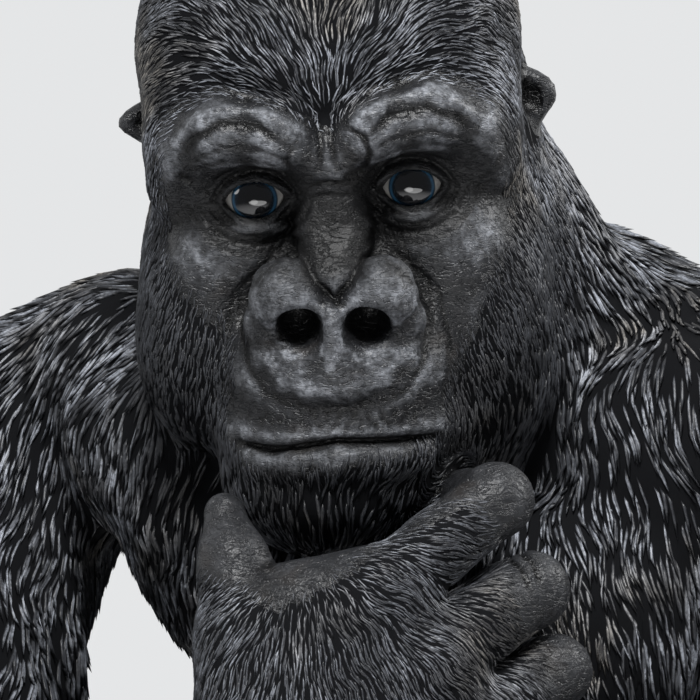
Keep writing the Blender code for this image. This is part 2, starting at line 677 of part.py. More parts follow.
def gorilla_body():
    clay = figure((-330, -445, -40), (340, 235, 800), GRID_STEP)
    points, faces = skin(clay)
    resin = plain_material("cast_resin", RESIN_COLOUR, 0.5)
    body = new_object("gorilla_body", new_mesh("gorilla_body", points * MM, faces), resin)
    keep_largest(body.data)
    group = detail_weights(body)
    thin = body.modifiers.new("thin", "DECIMATE")
    body.data.calc_loop_triangles()
    thin.ratio = BODY_TRIANGLES / len(body.data.loop_triangles)
    thin.vertex_group = group.name
    thin.invert_vertex_group = True
    thin.vertex_group_factor = 1.0
    thin.use_collapse_triangulate = True
    applied(body)
    flat_underside(body)
    return body


def main():
    for thing in list(bpy.data.objects):
        bpy.data.objects.remove(thing)
    body = gorilla_body()
    gloss = plain_material("eye_gloss", EYE_COLOUR, 0.05)
    for name, side in (("eye_right", -1), ("eye_left", 1)):
        eyeball(name, side, EYE_RADIUS, gloss)
        cut_away(body, eyeball(name + "_seat", side, EYE_RADIUS + EYE_GAP, None))
        cut_away(body, lid_cutter(name + "_opening", side))
    body.data.shade_smooth()
    body.data.set_sharp_from_angle(angle=math.radians(50))


main()
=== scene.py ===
"""Seated gorilla figurine, chin on its right hand: what shows of it, over the frame of its CAD model.

The same rounded masses as the CAD body are blended again on finer grids, the bare skin is creased, and
the coat is laid over the rest as short carved strokes that are combed along the way the hair lies.
Millimetres in the sculpting code, metres in the scene. The chest faces -Y, +X is the gorilla's own left.
"""

import json
import math

import bmesh
import bpy
import numpy as np
from mathutils import Matrix, Vector

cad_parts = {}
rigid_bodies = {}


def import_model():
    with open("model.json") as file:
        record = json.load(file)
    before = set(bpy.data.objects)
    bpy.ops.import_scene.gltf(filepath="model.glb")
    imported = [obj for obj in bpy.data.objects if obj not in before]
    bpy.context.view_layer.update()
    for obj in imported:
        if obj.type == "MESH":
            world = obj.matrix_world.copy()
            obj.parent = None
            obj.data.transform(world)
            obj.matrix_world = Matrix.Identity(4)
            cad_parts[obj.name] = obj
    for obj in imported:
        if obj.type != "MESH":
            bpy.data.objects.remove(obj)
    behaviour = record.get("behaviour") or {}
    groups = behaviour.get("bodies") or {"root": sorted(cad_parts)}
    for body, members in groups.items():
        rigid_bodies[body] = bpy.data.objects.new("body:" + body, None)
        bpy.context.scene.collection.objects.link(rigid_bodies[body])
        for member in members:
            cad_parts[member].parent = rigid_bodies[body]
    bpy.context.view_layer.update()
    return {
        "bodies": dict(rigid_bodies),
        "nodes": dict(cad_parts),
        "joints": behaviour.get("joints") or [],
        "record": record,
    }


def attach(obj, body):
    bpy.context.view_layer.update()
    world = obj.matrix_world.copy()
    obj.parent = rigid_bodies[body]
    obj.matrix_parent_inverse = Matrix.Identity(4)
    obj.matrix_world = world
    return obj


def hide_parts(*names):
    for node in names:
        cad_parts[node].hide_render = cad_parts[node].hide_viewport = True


MM = 0.001

# Whole figure, millimetres and degrees
EYE_HEIGHT = 608
EYE_SIDE = 19
EYE_FORWARD = 125
LOOK_TURN = 20
SHOULDER_SPREAD = 217
SHOULDER_HEIGHT = 456
HIP_SPREAD = 82
KNEE_SPREAD = 172
KNEE_HEIGHT = 132
UPPER_ARM_RADIUS = 66
FOREARM_RADIUS = 58
WRIST_RADIUS = 37
THIGH_RADIUS = 82
KNEE_RADIUS = 62
CHEST_WIDTH = 240
BELLY_WIDTH = 304
RUMP_WIDTH = 336

# Head, in its own frame: x to the gorilla's left, y back, z up, from the point midway between the eyes
HEAD_TURN = -2.5
HEAD_ROLL = 4.7
JAW_ROLL = 1.5
HEAD_BOW = 9
SKULL_WIDTH = 176
SKULL_TOP = 152
CHEEK_WIDTH = 186
BROW_REACH = 12
BROW_HEIGHT = 29
EYE_SPACING = 71
EYE_RADIUS = 16
EYE_DEPTH = 14
EYE_GAP = 0.35
LID_WIDTH = 26
LID_HEIGHT = 15.6
NOSE_WIDTH = 80
NOSE_DROP = 53
NOSE_REACH = 40
NOSTRIL_WIDTH = 17
NOSTRIL_SPACING = 29
MOUTH_DROP = 103
MOUTH_WIDTH = 88
LIP_REACH = 46
CHIN_DROP = 140
EAR_SPACING = 180
EAR_HEIGHT = 30

# Hands and feet
THUMB_RADIUS = 11.5
FINGER_RADIUS = 15
TOE_RADIUS = 11
FOOT_LENGTH = 140

# Coat: broad locks of hair
LOCK_SPACING = 61
LOCK_HEIGHT = 5.5

# Grids: the step between points of each block of clay, and how many steps its pieces overlap
COARSE_STEP = 3.2
FACE_STEP = 1.0
HAND_STEP = 1.25
SMALL_STEP = 1.9
OVERLAP_STEPS = 1.5
FAR = 40.0
FLOOR_GAP = 0.2

# Blocks of fine clay: their lowest and highest corners
FACE_BOX = ((-78, -210, 452), (124, -60, 676))
HAND_BOX = ((-62, -262, 296), (150, -60, 452))
LEFT_HAND_BOX = ((140, -300, 110), (270, -170, 260))
RIGHT_FOOT_BOX = ((-190, -440, -6), (-10, -262, 80))
LEFT_FOOT_BOX = ((30, -440, -6), (200, -262, 80))
WHOLE_BOX = ((-330, -450, -40), (340, 245, 806))

# Bare skin: its margin around fingers and toes, and where the coat starts behind the face and over the sole
SKIN_MARGIN = 2.5
FACE_BACK = 48
SOLE_HEIGHT = 14
WRIST_LINE = -262
HAIRLINE = 5
# Highest form of the skin off the face, which keeps its painted highlights small on the hands, feet and ears
OFF_FACE_FORM_CAP = 0.6
SHARP_ANGLE = 62
FINE_RELIEF = 0.9
BROAD_RELIEF = 5

# Folds around an eye: how far each lies from the opening, its depth and its width
RIM_FOLDS = ((2.2, -0.6, 1.3),)
UPPER_FOLDS = ((5.4, 1.2, 1.1), (9.0, 0.45, 1.0))
LOWER_FOLDS = ((4.4, 0.8, 1.0), (7.8, 0.95, 1.1), (12.0, 0.8, 1.3), (16.5, 0.6, 1.5))

# Strokes of the coat: their size on the head, and how much larger they get on the chest and the body
STROKE_WIDTH = 1.6
STROKE_LENGTH = 11
STROKE_HEIGHT = 0.85
STROKE_STEPS = 3
CHEST_GROWTH = 1.9
BODY_GROWTH = 2.85
ROOT_SPACING = 2.4
BODY_MIDDLE = 15

# Where the coat changes: distances over which it goes from one way of lying or growing to another
HEAD_GROWTH = (112, 150)
HAND_GROWTH = (4, 40)
CHEST_DROP = (180, 280)
CHEST_DEPTH = (170, 260)
HEAD_COMB = (128, 165)
HAND_COMB = (0, 16)
HEAD_REACH = 135
COAT_FLOOR = 10
FACING_DOWN = -0.85

# How the strokes differ from one another, and how they sway together over a wave
LENGTH_RANGE = (0.7, 1.35)
WIDTH_RANGE = (0.75, 1.2)
HEIGHT_RANGE = (0.7, 1.25)
TURN_SPREAD = 0.045
WAVE_LENGTH = 22
SWAY = 0.22
FINE_SWAY = 0.1
SINK = 0.3

# Camera, from the photo
CAMERA_DISTANCE = 1500
CAMERA_ELEVATION = 4
CAMERA_FIELD = 315
SENSOR_WIDTH = 36
AIM = (7.65, 0, -70.2)

# Colours, linear
# Painted shade: near black at the foot of each stroke of the coat
STROKE_FOOT_SHADE = (0.0035, 0.0036, 0.004, 1)
# Painted shade: the ground between the strokes, darker than their flanks
COAT_GROUND_SHADE = (0.0065, 0.0068, 0.0077, 1)
FUR_GREY = (0.013, 0.0137, 0.016, 1)
# Painted highlights on the strokes' crests, bluish and warm, partly dry-brushed paint
FUR_HIGHLIGHT = (0.4, 0.425, 0.48, 1)
FUR_WARM_HIGHLIGHT = (0.4, 0.375, 0.34, 1)
# Painted shade in the skin's folds, hollows and sockets
SKIN_PAINTED_SHADE = (0.003, 0.0031, 0.0034, 1)
SKIN_GREY = (0.0115, 0.012, 0.0135, 1)
# Painted highlight on what stands out of the bare skin, partly dry-brushed paint
SKIN_HIGHLIGHT = (0.3, 0.315, 0.345, 1)
WARM_TINGE = (0.026, 0.02, 0.015, 1)
BACKDROP = (0.78, 0.79, 0.8, 1)
ROOM = (0.1, 0.1025, 0.108, 1)
FLOOR = (0.6, 0.6, 0.61, 1)

# Floor: its radius in metres, and where it starts to fade and is gone
FLOOR_RADIUS = 1.6
FLOOR_FADE = (0.6, 1.5)

# Eye: colours at shares of its radius, from the pupil over the iris and its blue rim to the white
EYE_RINGS = [(0.0, (0.001, 0.001, 0.0015)), (0.45, (0.002, 0.0025, 0.004)), (0.53, (0.004, 0.01, 0.018))]
EYE_RINGS += [(0.59, (0.024, 0.085, 0.155)), (0.64, (0.01, 0.026, 0.045)), (0.67, (0.34, 0.33, 0.31))]
EYE_RINGS += [(0.9, (0.5, 0.49, 0.48))]

# Lights: place and aim in metres, width in metres and power in watts
LIGHTS = (
    ("key", (0.35, -1.15, 2.2), (0, -0.1, 0.5), 0.7, 62),
    ("fill", (-1.6, -1.5, 1.1), (0, -0.1, 0.45), 0.9, 6),
    ("rim", (1.5, 0.9, 1.5), (0, 0, 0.5), 0.8, 24),
)

# Lights that show in the eyes: place in the view, width and height in metres and power in watts
CATCH_LIGHTS = (
    ("catch", (60, -640, -330), 0.8, 0.22, 1.0),
    ("catch_side", (-90, -640, -280), 0.3, 0.2, 0.25),
)


class Frame:
    """A place with its own x, y and z: it takes points to the world, and world arrays to its own."""

    def __init__(self, origin=(0, 0, 0), turn=0.0, roll=0.0, bow=0.0):
        turned = Matrix.Rotation(math.radians(turn), 3, "Z")
        rolled = Matrix.Rotation(math.radians(-roll), 3, "Y")
        bowed = Matrix.Rotation(math.radians(bow), 3, "X")
        self.axes = np.array(turned @ rolled @ bowed)
        self.origin = np.array(origin, float)

    def world(self, point):
        return self.origin + self.axes @ np.array(point, float)

    def local(self, grid):
        moved = [grid[i] - self.origin[i] for i in range(3)]
        return [sum(self.axes[j, i] * moved[j] for j in range(3)) for i in range(3)]


class Clay:
    """A block of space that holds the distance to the figure's surface, negative inside it."""

    def __init__(self, low, high, step):
        self.low = np.array(low, float)
        self.step = step
        count = np.ceil((np.array(high, float) - self.low) / step).astype(int) + 1
        self.axes = [self.low[i] + step * np.arange(count[i]) for i in range(3)]
        self.distance = np.full(count, FAR, np.float32)

    def window(self, points, reach):
        """The part of the block within reach of the points: its slices and its x, y and z."""
        points = np.array(points, float)
        first = np.floor((points.min(0) - reach - self.low) / self.step).astype(int)
        last = np.ceil((points.max(0) + reach - self.low) / self.step).astype(int) + 1
        part = tuple(
            slice(max(a, 0), max(min(b, n), 0)) for a, b, n in zip(first, last, self.distance.shape)
        )
        grid = np.meshgrid(*[ax[s] for ax, s in zip(self.axes, part)], indexing="ij", sparse=True)
        return part, grid

    def add(self, part, distance, soft):
        """Blends a mass in, with a fillet about as wide as soft."""
        old = self.distance[part]
        share = np.clip(0.5 + 0.5 * (old - distance) / soft, 0, 1)
        self.distance[part] = old * (1 - share) + distance * share - soft * share * (1 - share)

    def remove(self, part, distance, soft):
        """Cuts a mass out, with its rim rounded by about soft."""
        old = self.distance[part]
        share = np.clip(0.5 - 0.5 * (old + distance) / soft, 0, 1)
        self.distance[part] = old * (1 - share) - distance * share + soft * share * (1 - share)


def ball(clay, frame, centre, radii, soft=10, lean=(0, 0, 0), cut=False):
    """An ellipsoid. lean turns it about the frame's x, y and z, in degrees."""
    radii = np.array(radii, float)
    part, grid = clay.window([frame.world(centre)], radii.max() + FAR / 2 + soft)
    x, y, z = frame.local(grid)
    x, y, z = x - centre[0], y - centre[1], z - centre[2]
    if any(lean):
        turn = [Matrix.Rotation(math.radians(a), 3, axis) for a, axis in zip(lean, "XYZ")]
        axes = np.array(turn[2] @ turn[1] @ turn[0])
        x, y, z = [axes[0, i] * x + axes[1, i] * y + axes[2, i] * z for i in range(3)]
    near = np.sqrt((x / radii[0]) ** 2 + (y / radii[1]) ** 2 + (z / radii[2]) ** 2)
    slope = np.sqrt((x / radii[0] ** 2) ** 2 + (y / radii[1] ** 2) ** 2 + (z / radii[2] ** 2) ** 2)
    distance = near * (near - 1) / np.maximum(slope, 1e-6)
    (clay.remove if cut else clay.add)(part, distance, soft)


def limb(clay, frame, points, radii, soft=10, cut=False):
    """A round limb through the points, with its own radius at each."""
    for a, b, near, far in zip(points, points[1:], radii, radii[1:]):
        ends = [frame.world(a), frame.world(b)]
        part, grid = clay.window(ends, max(near, far) + FAR / 2 + soft)
        x, y, z = frame.local(grid)
        a, along = np.array(a, float), np.array(b, float) - np.array(a, float)
        x, y, z = x - a[0], y - a[1], z - a[2]
        share = (x * along[0] + y * along[1] + z * along[2]) / (along @ along)
        share = np.clip(share, 0, 1)
        gap = (x - share * along[0]) ** 2 + (y - share * along[1]) ** 2 + (z - share * along[2]) ** 2
        distance = np.sqrt(gap) - (near + (far - near) * share)
        (clay.remove if cut else clay.add)(part, distance, soft)


def crease(clay, frame, outline, width, depth, back=20, taper=0):
    """A groove (or with a negative depth a fold) drawn on the front along x, z points of a frame."""
    width = max(width, 1.25 * clay.step)
    ends = [frame.world((x, y, z)) for x, z in outline for y in (-160, back)]
    part, grid = clay.window(ends, 3 * width)
    x, y, z = frame.local(grid)
    gap = np.full(np.broadcast_shapes(x.shape, y.shape, z.shape), 1e6)
    for a, b in zip(outline, outline[1:]):
        along = np.array(b, float) - np.array(a, float)
        share = np.clip(((x - a[0]) * along[0] + (z - a[1]) * along[1]) / (along @ along), 0, 1)
        gap = np.minimum(gap, (x - a[0] - share * along[0]) ** 2 + (z - a[1] - share * along[1]) ** 2)
    fade = np.clip((back - y) / 10, 0, 1)
    if taper:
        first, last = outline[0], outline[-1]
        nearer = np.minimum(np.hypot(x - first[0], z - first[1]), np.hypot(x - last[0], z - last[1]))
        fade = fade * np.clip(nearer / taper + 0.25, 0, 1)
    clay.distance[part] += (depth * np.exp(-gap / width**2) * fade).astype(np.float32)


# Frames: the whole body, the view that the hand was posed in, and the head
BODY = Frame()
EYES = (EYE_SIDE, -EYE_FORWARD, EYE_HEIGHT)
VIEW = Frame(EYES, LOOK_TURN)
HEAD = Frame(EYES, LOOK_TURN + HEAD_TURN, HEAD_ROLL, HEAD_BOW)
JAW = Frame(EYES, LOOK_TURN + HEAD_TURN, JAW_ROLL, HEAD_BOW)

# Joints of the skeleton that two limbs share
RIGHT_SHOULDER = (-SHOULDER_SPREAD, 10, SHOULDER_HEIGHT + 6)
LEFT_SHOULDER = (SHOULDER_SPREAD - 11, 48, SHOULDER_HEIGHT - 10)
RIGHT_KNEE = (-KNEE_SPREAD, -178, KNEE_HEIGHT)
LEFT_KNEE = (KNEE_SPREAD + 18, -170, KNEE_HEIGHT)
RIGHT_ELBOW = (-KNEE_SPREAD + 4, -176, KNEE_HEIGHT + KNEE_RADIUS + 46)
LEFT_ELBOW = (LEFT_SHOULDER[0] + 56, -22, KNEE_HEIGHT + KNEE_RADIUS + 30)
RIGHT_WRIST = (-26, -66, -272)
LEFT_WRIST = (LEFT_KNEE[0] + 12, LEFT_KNEE[1] - 22, KNEE_HEIGHT + KNEE_RADIUS + 28)


def torso(clay):
    """Rump, belly, chest, back and the hump of the shoulders."""
    ball(clay, BODY, (16, 56, 94), (RUMP_WIDTH / 2, 138, 112), 30)
    ball(clay, BODY, (26, -6, 188), (BELLY_WIDTH / 2, 134, 118), 40)
    ball(clay, BODY, (20, 96, 200), (124, 92, 140), 30)
    ball(clay, BODY, (30, 44, 340), (CHEST_WIDTH / 2, 108, 120), 40)
    ball(clay, BODY, (20, 96, 400), (116, 92, 110), 30)
    ball(clay, BODY, (6, 84, 496), (120, 98, 110), 24)
    ball(clay, BODY, (112, 92, 430), (88, 66, 96), 40)
    ball(clay, BODY, (-72, 82, 432), (62, 58, 54), 24)
    ball(clay, BODY, (158, 50, 262), (66, 64, 96), 30)
    ball(clay, BODY, (92, -26, 396), (78, 50, 66), 24, (0, -14, 0))
    ball(clay, BODY, (-40, -22, 424), (46, 40, 44), 20)


def neck(clay):
    """The thick neck, from between the shoulders to the back of the skull and its crest."""
    limb(clay, BODY, [(4, 72, 500), (12, 16, 560), (14, -24, 620)], [94, 85, 70], 22)
    limb(clay, BODY, [(0, 60, 470), (14, -40, 520), (18, -70, 548)], [84, 70, 56], 24)
    limb(clay, BODY, [(-8, 96, 548), (-20, 34, 628)], [66, 58], 20)


def shoulders(clay):
    """The shoulders' caps, the slopes of muscle up to the neck and the right breast behind the hand."""
    limb(clay, BODY, [(-90, 78, 500), (-160, 39, 498), RIGHT_SHOULDER], [62, 56, 64], 20)
    breast = [(-104, 170, -104), (-66, 124, -130), (-26, 112, -184), (4, 110, -220)]
    limb(clay, VIEW, breast, [50, 48, 48, 44], 34)
    limb(clay, BODY, [(92, 78, 494), LEFT_SHOULDER], [84, 76], 30)
    ball(clay, BODY, (148, 14, 470), (68, 56, 72), 14)


def right_arm(clay):
    """From the shoulder out to the elbow on the right knee, then up to the wrist under the chin."""
    wrist = VIEW.world(RIGHT_WRIST)
    middle = (np.array(RIGHT_SHOULDER) * 0.5 + np.array(RIGHT_ELBOW) * 0.5) + (-18, 10, 0)
    radii = [66, UPPER_ARM_RADIUS, FOREARM_RADIUS + 6]
    limb(clay, BODY, [RIGHT_SHOULDER, middle, RIGHT_ELBOW], radii, 22)
    belly = np.array(RIGHT_ELBOW) * 0.62 + wrist * 0.38 + (0, 0, -4)
    limb(clay, BODY, [RIGHT_ELBOW, belly, wrist], [FOREARM_RADIUS, FOREARM_RADIUS + 2, WRIST_RADIUS + 4], 20)


def left_arm(clay):
    """Down the left side, with the forearm along the left thigh and the hand over the knee."""
    middle = (np.array(LEFT_SHOULDER) * 0.5 + np.array(LEFT_ELBOW) * 0.5) + (10, 8, 0)
    radii = [74, UPPER_ARM_RADIUS + 2, FOREARM_RADIUS + 6]
    limb(clay, BODY, [LEFT_SHOULDER, middle, LEFT_ELBOW], radii, 24)
    belly = np.array(LEFT_ELBOW) * 0.62 + np.array(LEFT_WRIST) * 0.38
    limb(clay, BODY, [LEFT_ELBOW, belly, LEFT_WRIST], [FOREARM_RADIUS, FOREARM_RADIUS + 3, WRIST_RADIUS], 20)


def foot(side, knee):
    """The ankle, the heel, the ball of the foot and the way it points."""
    ankle = np.array((side * 82 + 18, knee[1] - 96, 42))
    heel = ankle + (-side * 2, 16, -18)
    ahead = np.array((side * 0.16, -1, 0)) * FOOT_LENGTH
    return ankle, heel, heel + ahead * 0.72, ahead


def toe_limbs(side, knee):
    """Four toes and the thumb-like big toe: for each its joints, its radii and how softly it blends."""
    _, _, sole, ahead = foot(side, knee)
    limbs = []
    for number in range(4):
        spread = side * (number * 17.5 - 16)
        root = sole + (spread, -14 + 3 * number, -2)
        tip = root + ahead * (0.32 - 0.03 * number) + (side * 2 * number, 0, -6)
        knuckle = (root + tip) / 2 + (0, 0, 6)
        limbs.append(([root, knuckle, tip], [TOE_RADIUS + 1, TOE_RADIUS, TOE_RADIUS - 1], 3.5))
    big = sole + (-side * 30, 24, -4)
    reach = big + (-side * 24, -48, -3)
    limbs.append(([big, (big + reach) / 2 + (0, 0, 4), reach], [18, 15, 13], 6))
    return limbs


def leg(clay, side, knee):
    """Thigh, knee, shin and foot. side is -1 on the gorilla's right."""
    hip = (side * HIP_SPREAD + 20, 62, 98)
    ankle, heel, sole, _ = foot(side, knee)
    limb(clay, BODY, [hip, knee], [THIGH_RADIUS + 14, KNEE_RADIUS], 30)
    calf = np.array(knee) * 0.55 + ankle * 0.45 + (side * 4, 14, 4)
    limb(clay, BODY, [knee, calf, ankle], [KNEE_RADIUS - 4, 52, 38], 24)
    ball(clay, BODY, (side * 84 + 18, -196, 58), (78, 92, 66), 30)
    limb(clay, BODY, [heel, sole], [34, 29], 16)
    ball(clay, BODY, sole + (0, 8, 2), (42, 36, 26), 12)
    for joints, radii, soft in toe_limbs(side, knee):
        limb(clay, BODY, joints, radii, soft)


def right_hand_limbs():
    """The hand under the chin, in the view's frame: back of the hand, fingers, thumb and the web between."""
    wrist = np.array(RIGHT_WRIST, float)
    roots = [(20, -66, -174), (42, -72, -203), (62, -70, -230), (78, -62, -254)]
    knuckles = [(72, -36, -134), (87, -42, -173), (98, -42, -209), (102, -36, -243)]
    joints = [(62, 8, -140), (80, 2, -182), (90, 0, -216), (92, 4, -246)]
    tips = [(40, 14, -160), (56, 8, -196), (66, 4, -226), (68, 6, -250)]
    radii = [FINGER_RADIUS + extra for extra in (0.5, 1, 0, -1.5)]
    limbs = []
    for root, r in zip(roots, (22, 23, 22, 20)):
        limbs.append(([wrist, (wrist + np.array(root)) / 2, root], [WRIST_RADIUS, 27, r], 14))
    for root, knuckle, joint, tip, r in zip(roots, knuckles, joints, tips, radii):
        middle = (np.array(root) + np.array(knuckle)) / 2 + (0, -2, 2)
        limbs.append(([root, middle, knuckle, joint, tip], [r + 4, r, r + 0.5, r - 1, r - 2], 4))
    thumb = [(-33, -70, -226), (-37, -64, -192), (-43, -46, -162), (-48, -30, -141)]
    limbs.append((thumb, [28, THUMB_RADIUS + 9, THUMB_RADIUS + 2.5, THUMB_RADIUS - 2], 12))
    limbs.append(([(-32, -58, -186), (-14, -62, -177), (14, -66, -175)], [16, 15, 18], 10))
    return limbs


def right_hand(clay):
    """The hand under the chin: thumb up the right cheek, knuckles to the left."""
    for joints, radii, soft in right_hand_limbs():
        limb(clay, VIEW, joints, radii, soft)
    ball(clay, VIEW, (0, -62, -206), (44, 30, 50), 16, (0, 40, 0))


def left_hand_limbs():
    """The fingers that hang in front of the left knee, and the thumb beside it."""
    palm = np.array(LEFT_WRIST, float) + (-4, -46, -8)
    limbs = []
    for number in range(4):
        across = 32 - 21 * number
        root = palm + (across, -34, -8)
        knuckle = root + (across * 0.12, -24, -20)
        joint = knuckle + (0, -4, -36 + 3 * abs(number - 1))
        tip = joint + (-across * 0.1, 12, -22)
        r = FINGER_RADIUS - (1.5 if number == 0 else 0)
        limbs.append(([root, knuckle, joint, tip], [r + 2, r + 0.5, r - 1.5, r - 3], 3.5))
    thumb = [palm + (-26, 6, -6), palm + (-52, -16, -22), palm + (-60, -36, -42)]
    limbs.append((thumb, [19, 15, 12], 8))
    return limbs


def left_hand(clay):
    """The hand laid over the left knee."""
    ball(clay, BODY, np.array(LEFT_WRIST, float) + (-4, -46, -8), (46, 50, 25), 14, (20, 0, 0))
    for joints, radii, soft in left_hand_limbs():
        limb(clay, BODY, joints, radii, soft)


def skull(clay):
    """The dome with its crest, the temples, the jaws and the ruff of the cheeks."""
    half = SKULL_WIDTH / 2
    ball(clay, HEAD, (0, 92, 40), (half, 98, 84), 20)
    ball(clay, HEAD, (0, 92, 80), (half - 6, 84, SKULL_TOP - 80), 16)
    ball(clay, HEAD, (0, 54, 60), (half - 5, 62, 58), 20)
    ball(clay, JAW, (0, 64, -30), (CHEEK_WIDTH / 2 - 3, 60, 74), 20)
    for side in (-1, 1):
        ball(clay, JAW, (side * (CHEEK_WIDTH / 2 - 32), 44, -62), (34, 50, 62), 16, (0, side * -8, 0))
        ball(clay, HEAD, (side * 52, 34, 20), (34, 36, 40), 16)
    ball(clay, JAW, (0, 24, -108), (58, 48, 46), 20)


def brow(clay):
    """The bar of bone over the eyes: an arch over each, with a dip between them."""
    top = BROW_HEIGHT
    for side in (-1, 1):
        arch = [(side * 5, -BROW_REACH + 5, top - 9), (side * 22, -BROW_REACH + 3, top)]
        arch += [(side * 46, -BROW_REACH + 9, top + 3), (side * 64, 9, top - 5), (side * 73, 20, top - 24)]
        limb(clay, HEAD, arch, [11, 13.5, 14.5, 13, 11], 8)
        ball(clay, HEAD, (side * 47, 12, -27), (25, 18, 20), 12)


def eye_pits(clay):
    """Hollows beside the nose, and the lids as one bulge over each eye."""
    for side in (-1, 1):
        eye = (side * EYE_SPACING / 2, EYE_DEPTH, 0)
        ball(clay, HEAD, (eye[0] - side * 1, -10, -3), (21, 17, 15), 10, cut=True)
        ball(clay, HEAD, (eye[0] - side * 16, -16, -14), (9, 12, 14), 8, cut=True)
        ball(clay, HEAD, (eye[0], EYE_DEPTH, 0), (EYE_RADIUS + 3.5, EYE_RADIUS + 2.4, EYE_RADIUS - 1), 4)
        ball(clay, HEAD, (eye[0] + side * 1, 4, -13), (15, 9, 6), 5)


def nose(clay):
    """The bridge, the two round lobes, their wings and the open nostrils."""
    low = -NOSE_DROP
    limb(clay, JAW, [(0, 4, 10), (0, -8, -20), (0, -20, -36)], [15, 13, 16], 14)
    ball(clay, JAW, (0, -NOSE_REACH + 26, low - 8), (35, 24, 30), 12)
    for side in (-1, 1):
        ball(clay, JAW, (side * 19, -NOSE_REACH + 12, low + 13), (19, 17, 17), 6)
        wing = [(side * 22, -NOSE_REACH + 12, low + 16), (side * 31, -NOSE_REACH + 17, low)]
        wing += [(side * 28, -NOSE_REACH + 15, low - 16), (side * 13, -NOSE_REACH + 12, low - 27)]
        limb(clay, JAW, wing, [13, NOSE_WIDTH / 2 - 31, 9, 8], 5)
    ball(clay, JAW, (0, -NOSE_REACH + 5, low - 4), (7, 12, 18), 7)
    for side in (-1, 1):
        centre = (side * NOSTRIL_SPACING / 2 + side, -NOSE_REACH, low)
        ball(clay, JAW, centre, (NOSTRIL_WIDTH / 2 + 1.2, 21, 9.5), 5, (14, side * 12, 0), cut=True)
    notch = [(-15, low + 29), (-7, low + 19), (1, low + 12), (8, low + 19), (16, low + 30)]
    crease(clay, JAW, notch, 4.5, 3, taper=9)
    under = [(-38, low - 12), (-28, low - 29), (-12, low - 36), (8, low - 36), (27, low - 28)]
    crease(clay, JAW, [*under, (38, low - 10)], 5, 1.9, taper=12)


def mouth_line():
    """The line between the lips, in x and z of the jaw."""
    low, half = -MOUTH_DROP, MOUTH_WIDTH / 2
    return [(-half, low - 5), (-half * 0.66, low - 6), (0, low - 1), (half * 0.6, low - 2.5), (half, low - 4)]


def muzzle(clay):
    """The upper lip, the mouth and the lower lip over the chin."""
    low, half = -MOUTH_DROP, MOUTH_WIDTH / 2
    ball(clay, JAW, (0, -LIP_REACH + 46, low + 24), (half + 8, 44, 34), 14)
    ball(clay, JAW, (0, -LIP_REACH + 46, low - 2), (half + 9, 43, 22), 12)
    ball(clay, JAW, (-4, -1, -CHIN_DROP + 10), (50, 40, 37), 14)
    across = (-36, -20, 0, 20, 36)
    front = [5 - 42 * math.sqrt(1 - (x / (half + 9)) ** 2) for x in across]
    lip = [(x, y, low - 10 - (x / 18) ** 2) for x, y in zip(across, front)]
    limb(clay, JAW, lip, [4, 6.5, 7.5, 6.5, 4], 8)
    crease(clay, JAW, mouth_line(), 2.6, 3.6, taper=16)


def ears(clay):
    """Two small round ears, each with a rim around a hollow. The right one lies back into the coat."""
    for side, out, up, size in ((-1, -2, 7, 0.66), (1, 0.5, 3, 1)):
        tilt = (0, side * 10, side * -24)
        x, z = side * (EAR_SPACING / 2 + out), EAR_HEIGHT - 10 + up
        ball(clay, HEAD, (x, 84, z + 3 * size), (15.5, 8, 12 * size), 4, tilt)
        ball(clay, HEAD, (x - side * 3, 84, z - 6 * size), (11, 7.5, 12 * size), 4, tilt)
        ball(clay, HEAD, (x + side * 1, 76, z + 2 * size), (8, 5.5, 7 * size), 3, tilt, cut=True)


def fine_places():
    """Where the head, the ears, the hands and the toes are, and how far the fine shapes of each reach."""
    places = [(HEAD.world((0, 10, -40)), 110), (VIEW.world((36, -40, -200)), 96)]
    places += [(np.array(LEFT_WRIST) + (0, -60, -40), 66)]
    places += [(HEAD.world((side * EAR_SPACING / 2, 84, EAR_HEIGHT - 10)), 26) for side in (-1, 1)]
    places += [(np.array((knee[0] * 0.55, knee[1] - 200, 16)), 70) for knee in (RIGHT_KNEE, LEFT_KNEE)]
    return places


def locks(clay):
    """Broad locks of hair that hang down the body, with grooves between them."""
    near = [index + 1 for index in np.nonzero(np.abs(clay.distance[1:-1, 1:-1, 1:-1]) < 4)]
    x, y, z = [axis[index] for axis, index in zip(clay.axes, near)]
    facing = []
    for axis in (0, 1):
        ahead, behind = list(near), list(near)
        ahead[axis], behind[axis] = near[axis] + 1, near[axis] - 1
        slope = (clay.distance[tuple(ahead)] - clay.distance[tuple(behind)]) / (2 * clay.step)
        facing.append(np.clip(1.05 - slope**2, 0.05, 1))
    sway = 14 * np.sin(z / 47) + 8 * np.sin(z / 21 + 1)
    across = np.sin(math.pi * (x + sway) / LOCK_SPACING) ** 2
    along = np.sin(math.pi * (y + sway) / LOCK_SPACING) ** 2
    lobe = (across * facing[0] + along * facing[1]) / (facing[0] + facing[1])
    share = np.ones(len(x))
    for centre, reach in fine_places():
        away = np.sqrt((x - centre[0]) ** 2 + (y - centre[1]) ** 2 + (z - centre[2]) ** 2) / reach
        share = np.minimum(share, np.clip(away * 2.5 - 2.5, 0, 1))
    clay.distance[tuple(near)] -= (LOCK_HEIGHT * (lobe - 0.5) * share).astype(np.float32)


def figure(low, high, step):
    """The whole figure as clay in a block from low to high, before its underside is cut flat."""
    clay = Clay(low, high, step)
    torso(clay)
    shoulders(clay)
    left_arm(clay)
    leg(clay, -1, RIGHT_KNEE)
    leg(clay, 1, LEFT_KNEE)
    left_hand(clay)
    neck(clay)
    skull(clay)
    brow(clay)
    eye_pits(clay)
    muzzle(clay)
    nose(clay)
    ears(clay)
    right_arm(clay)
    right_hand(clay)
    locks(clay)
    return clay


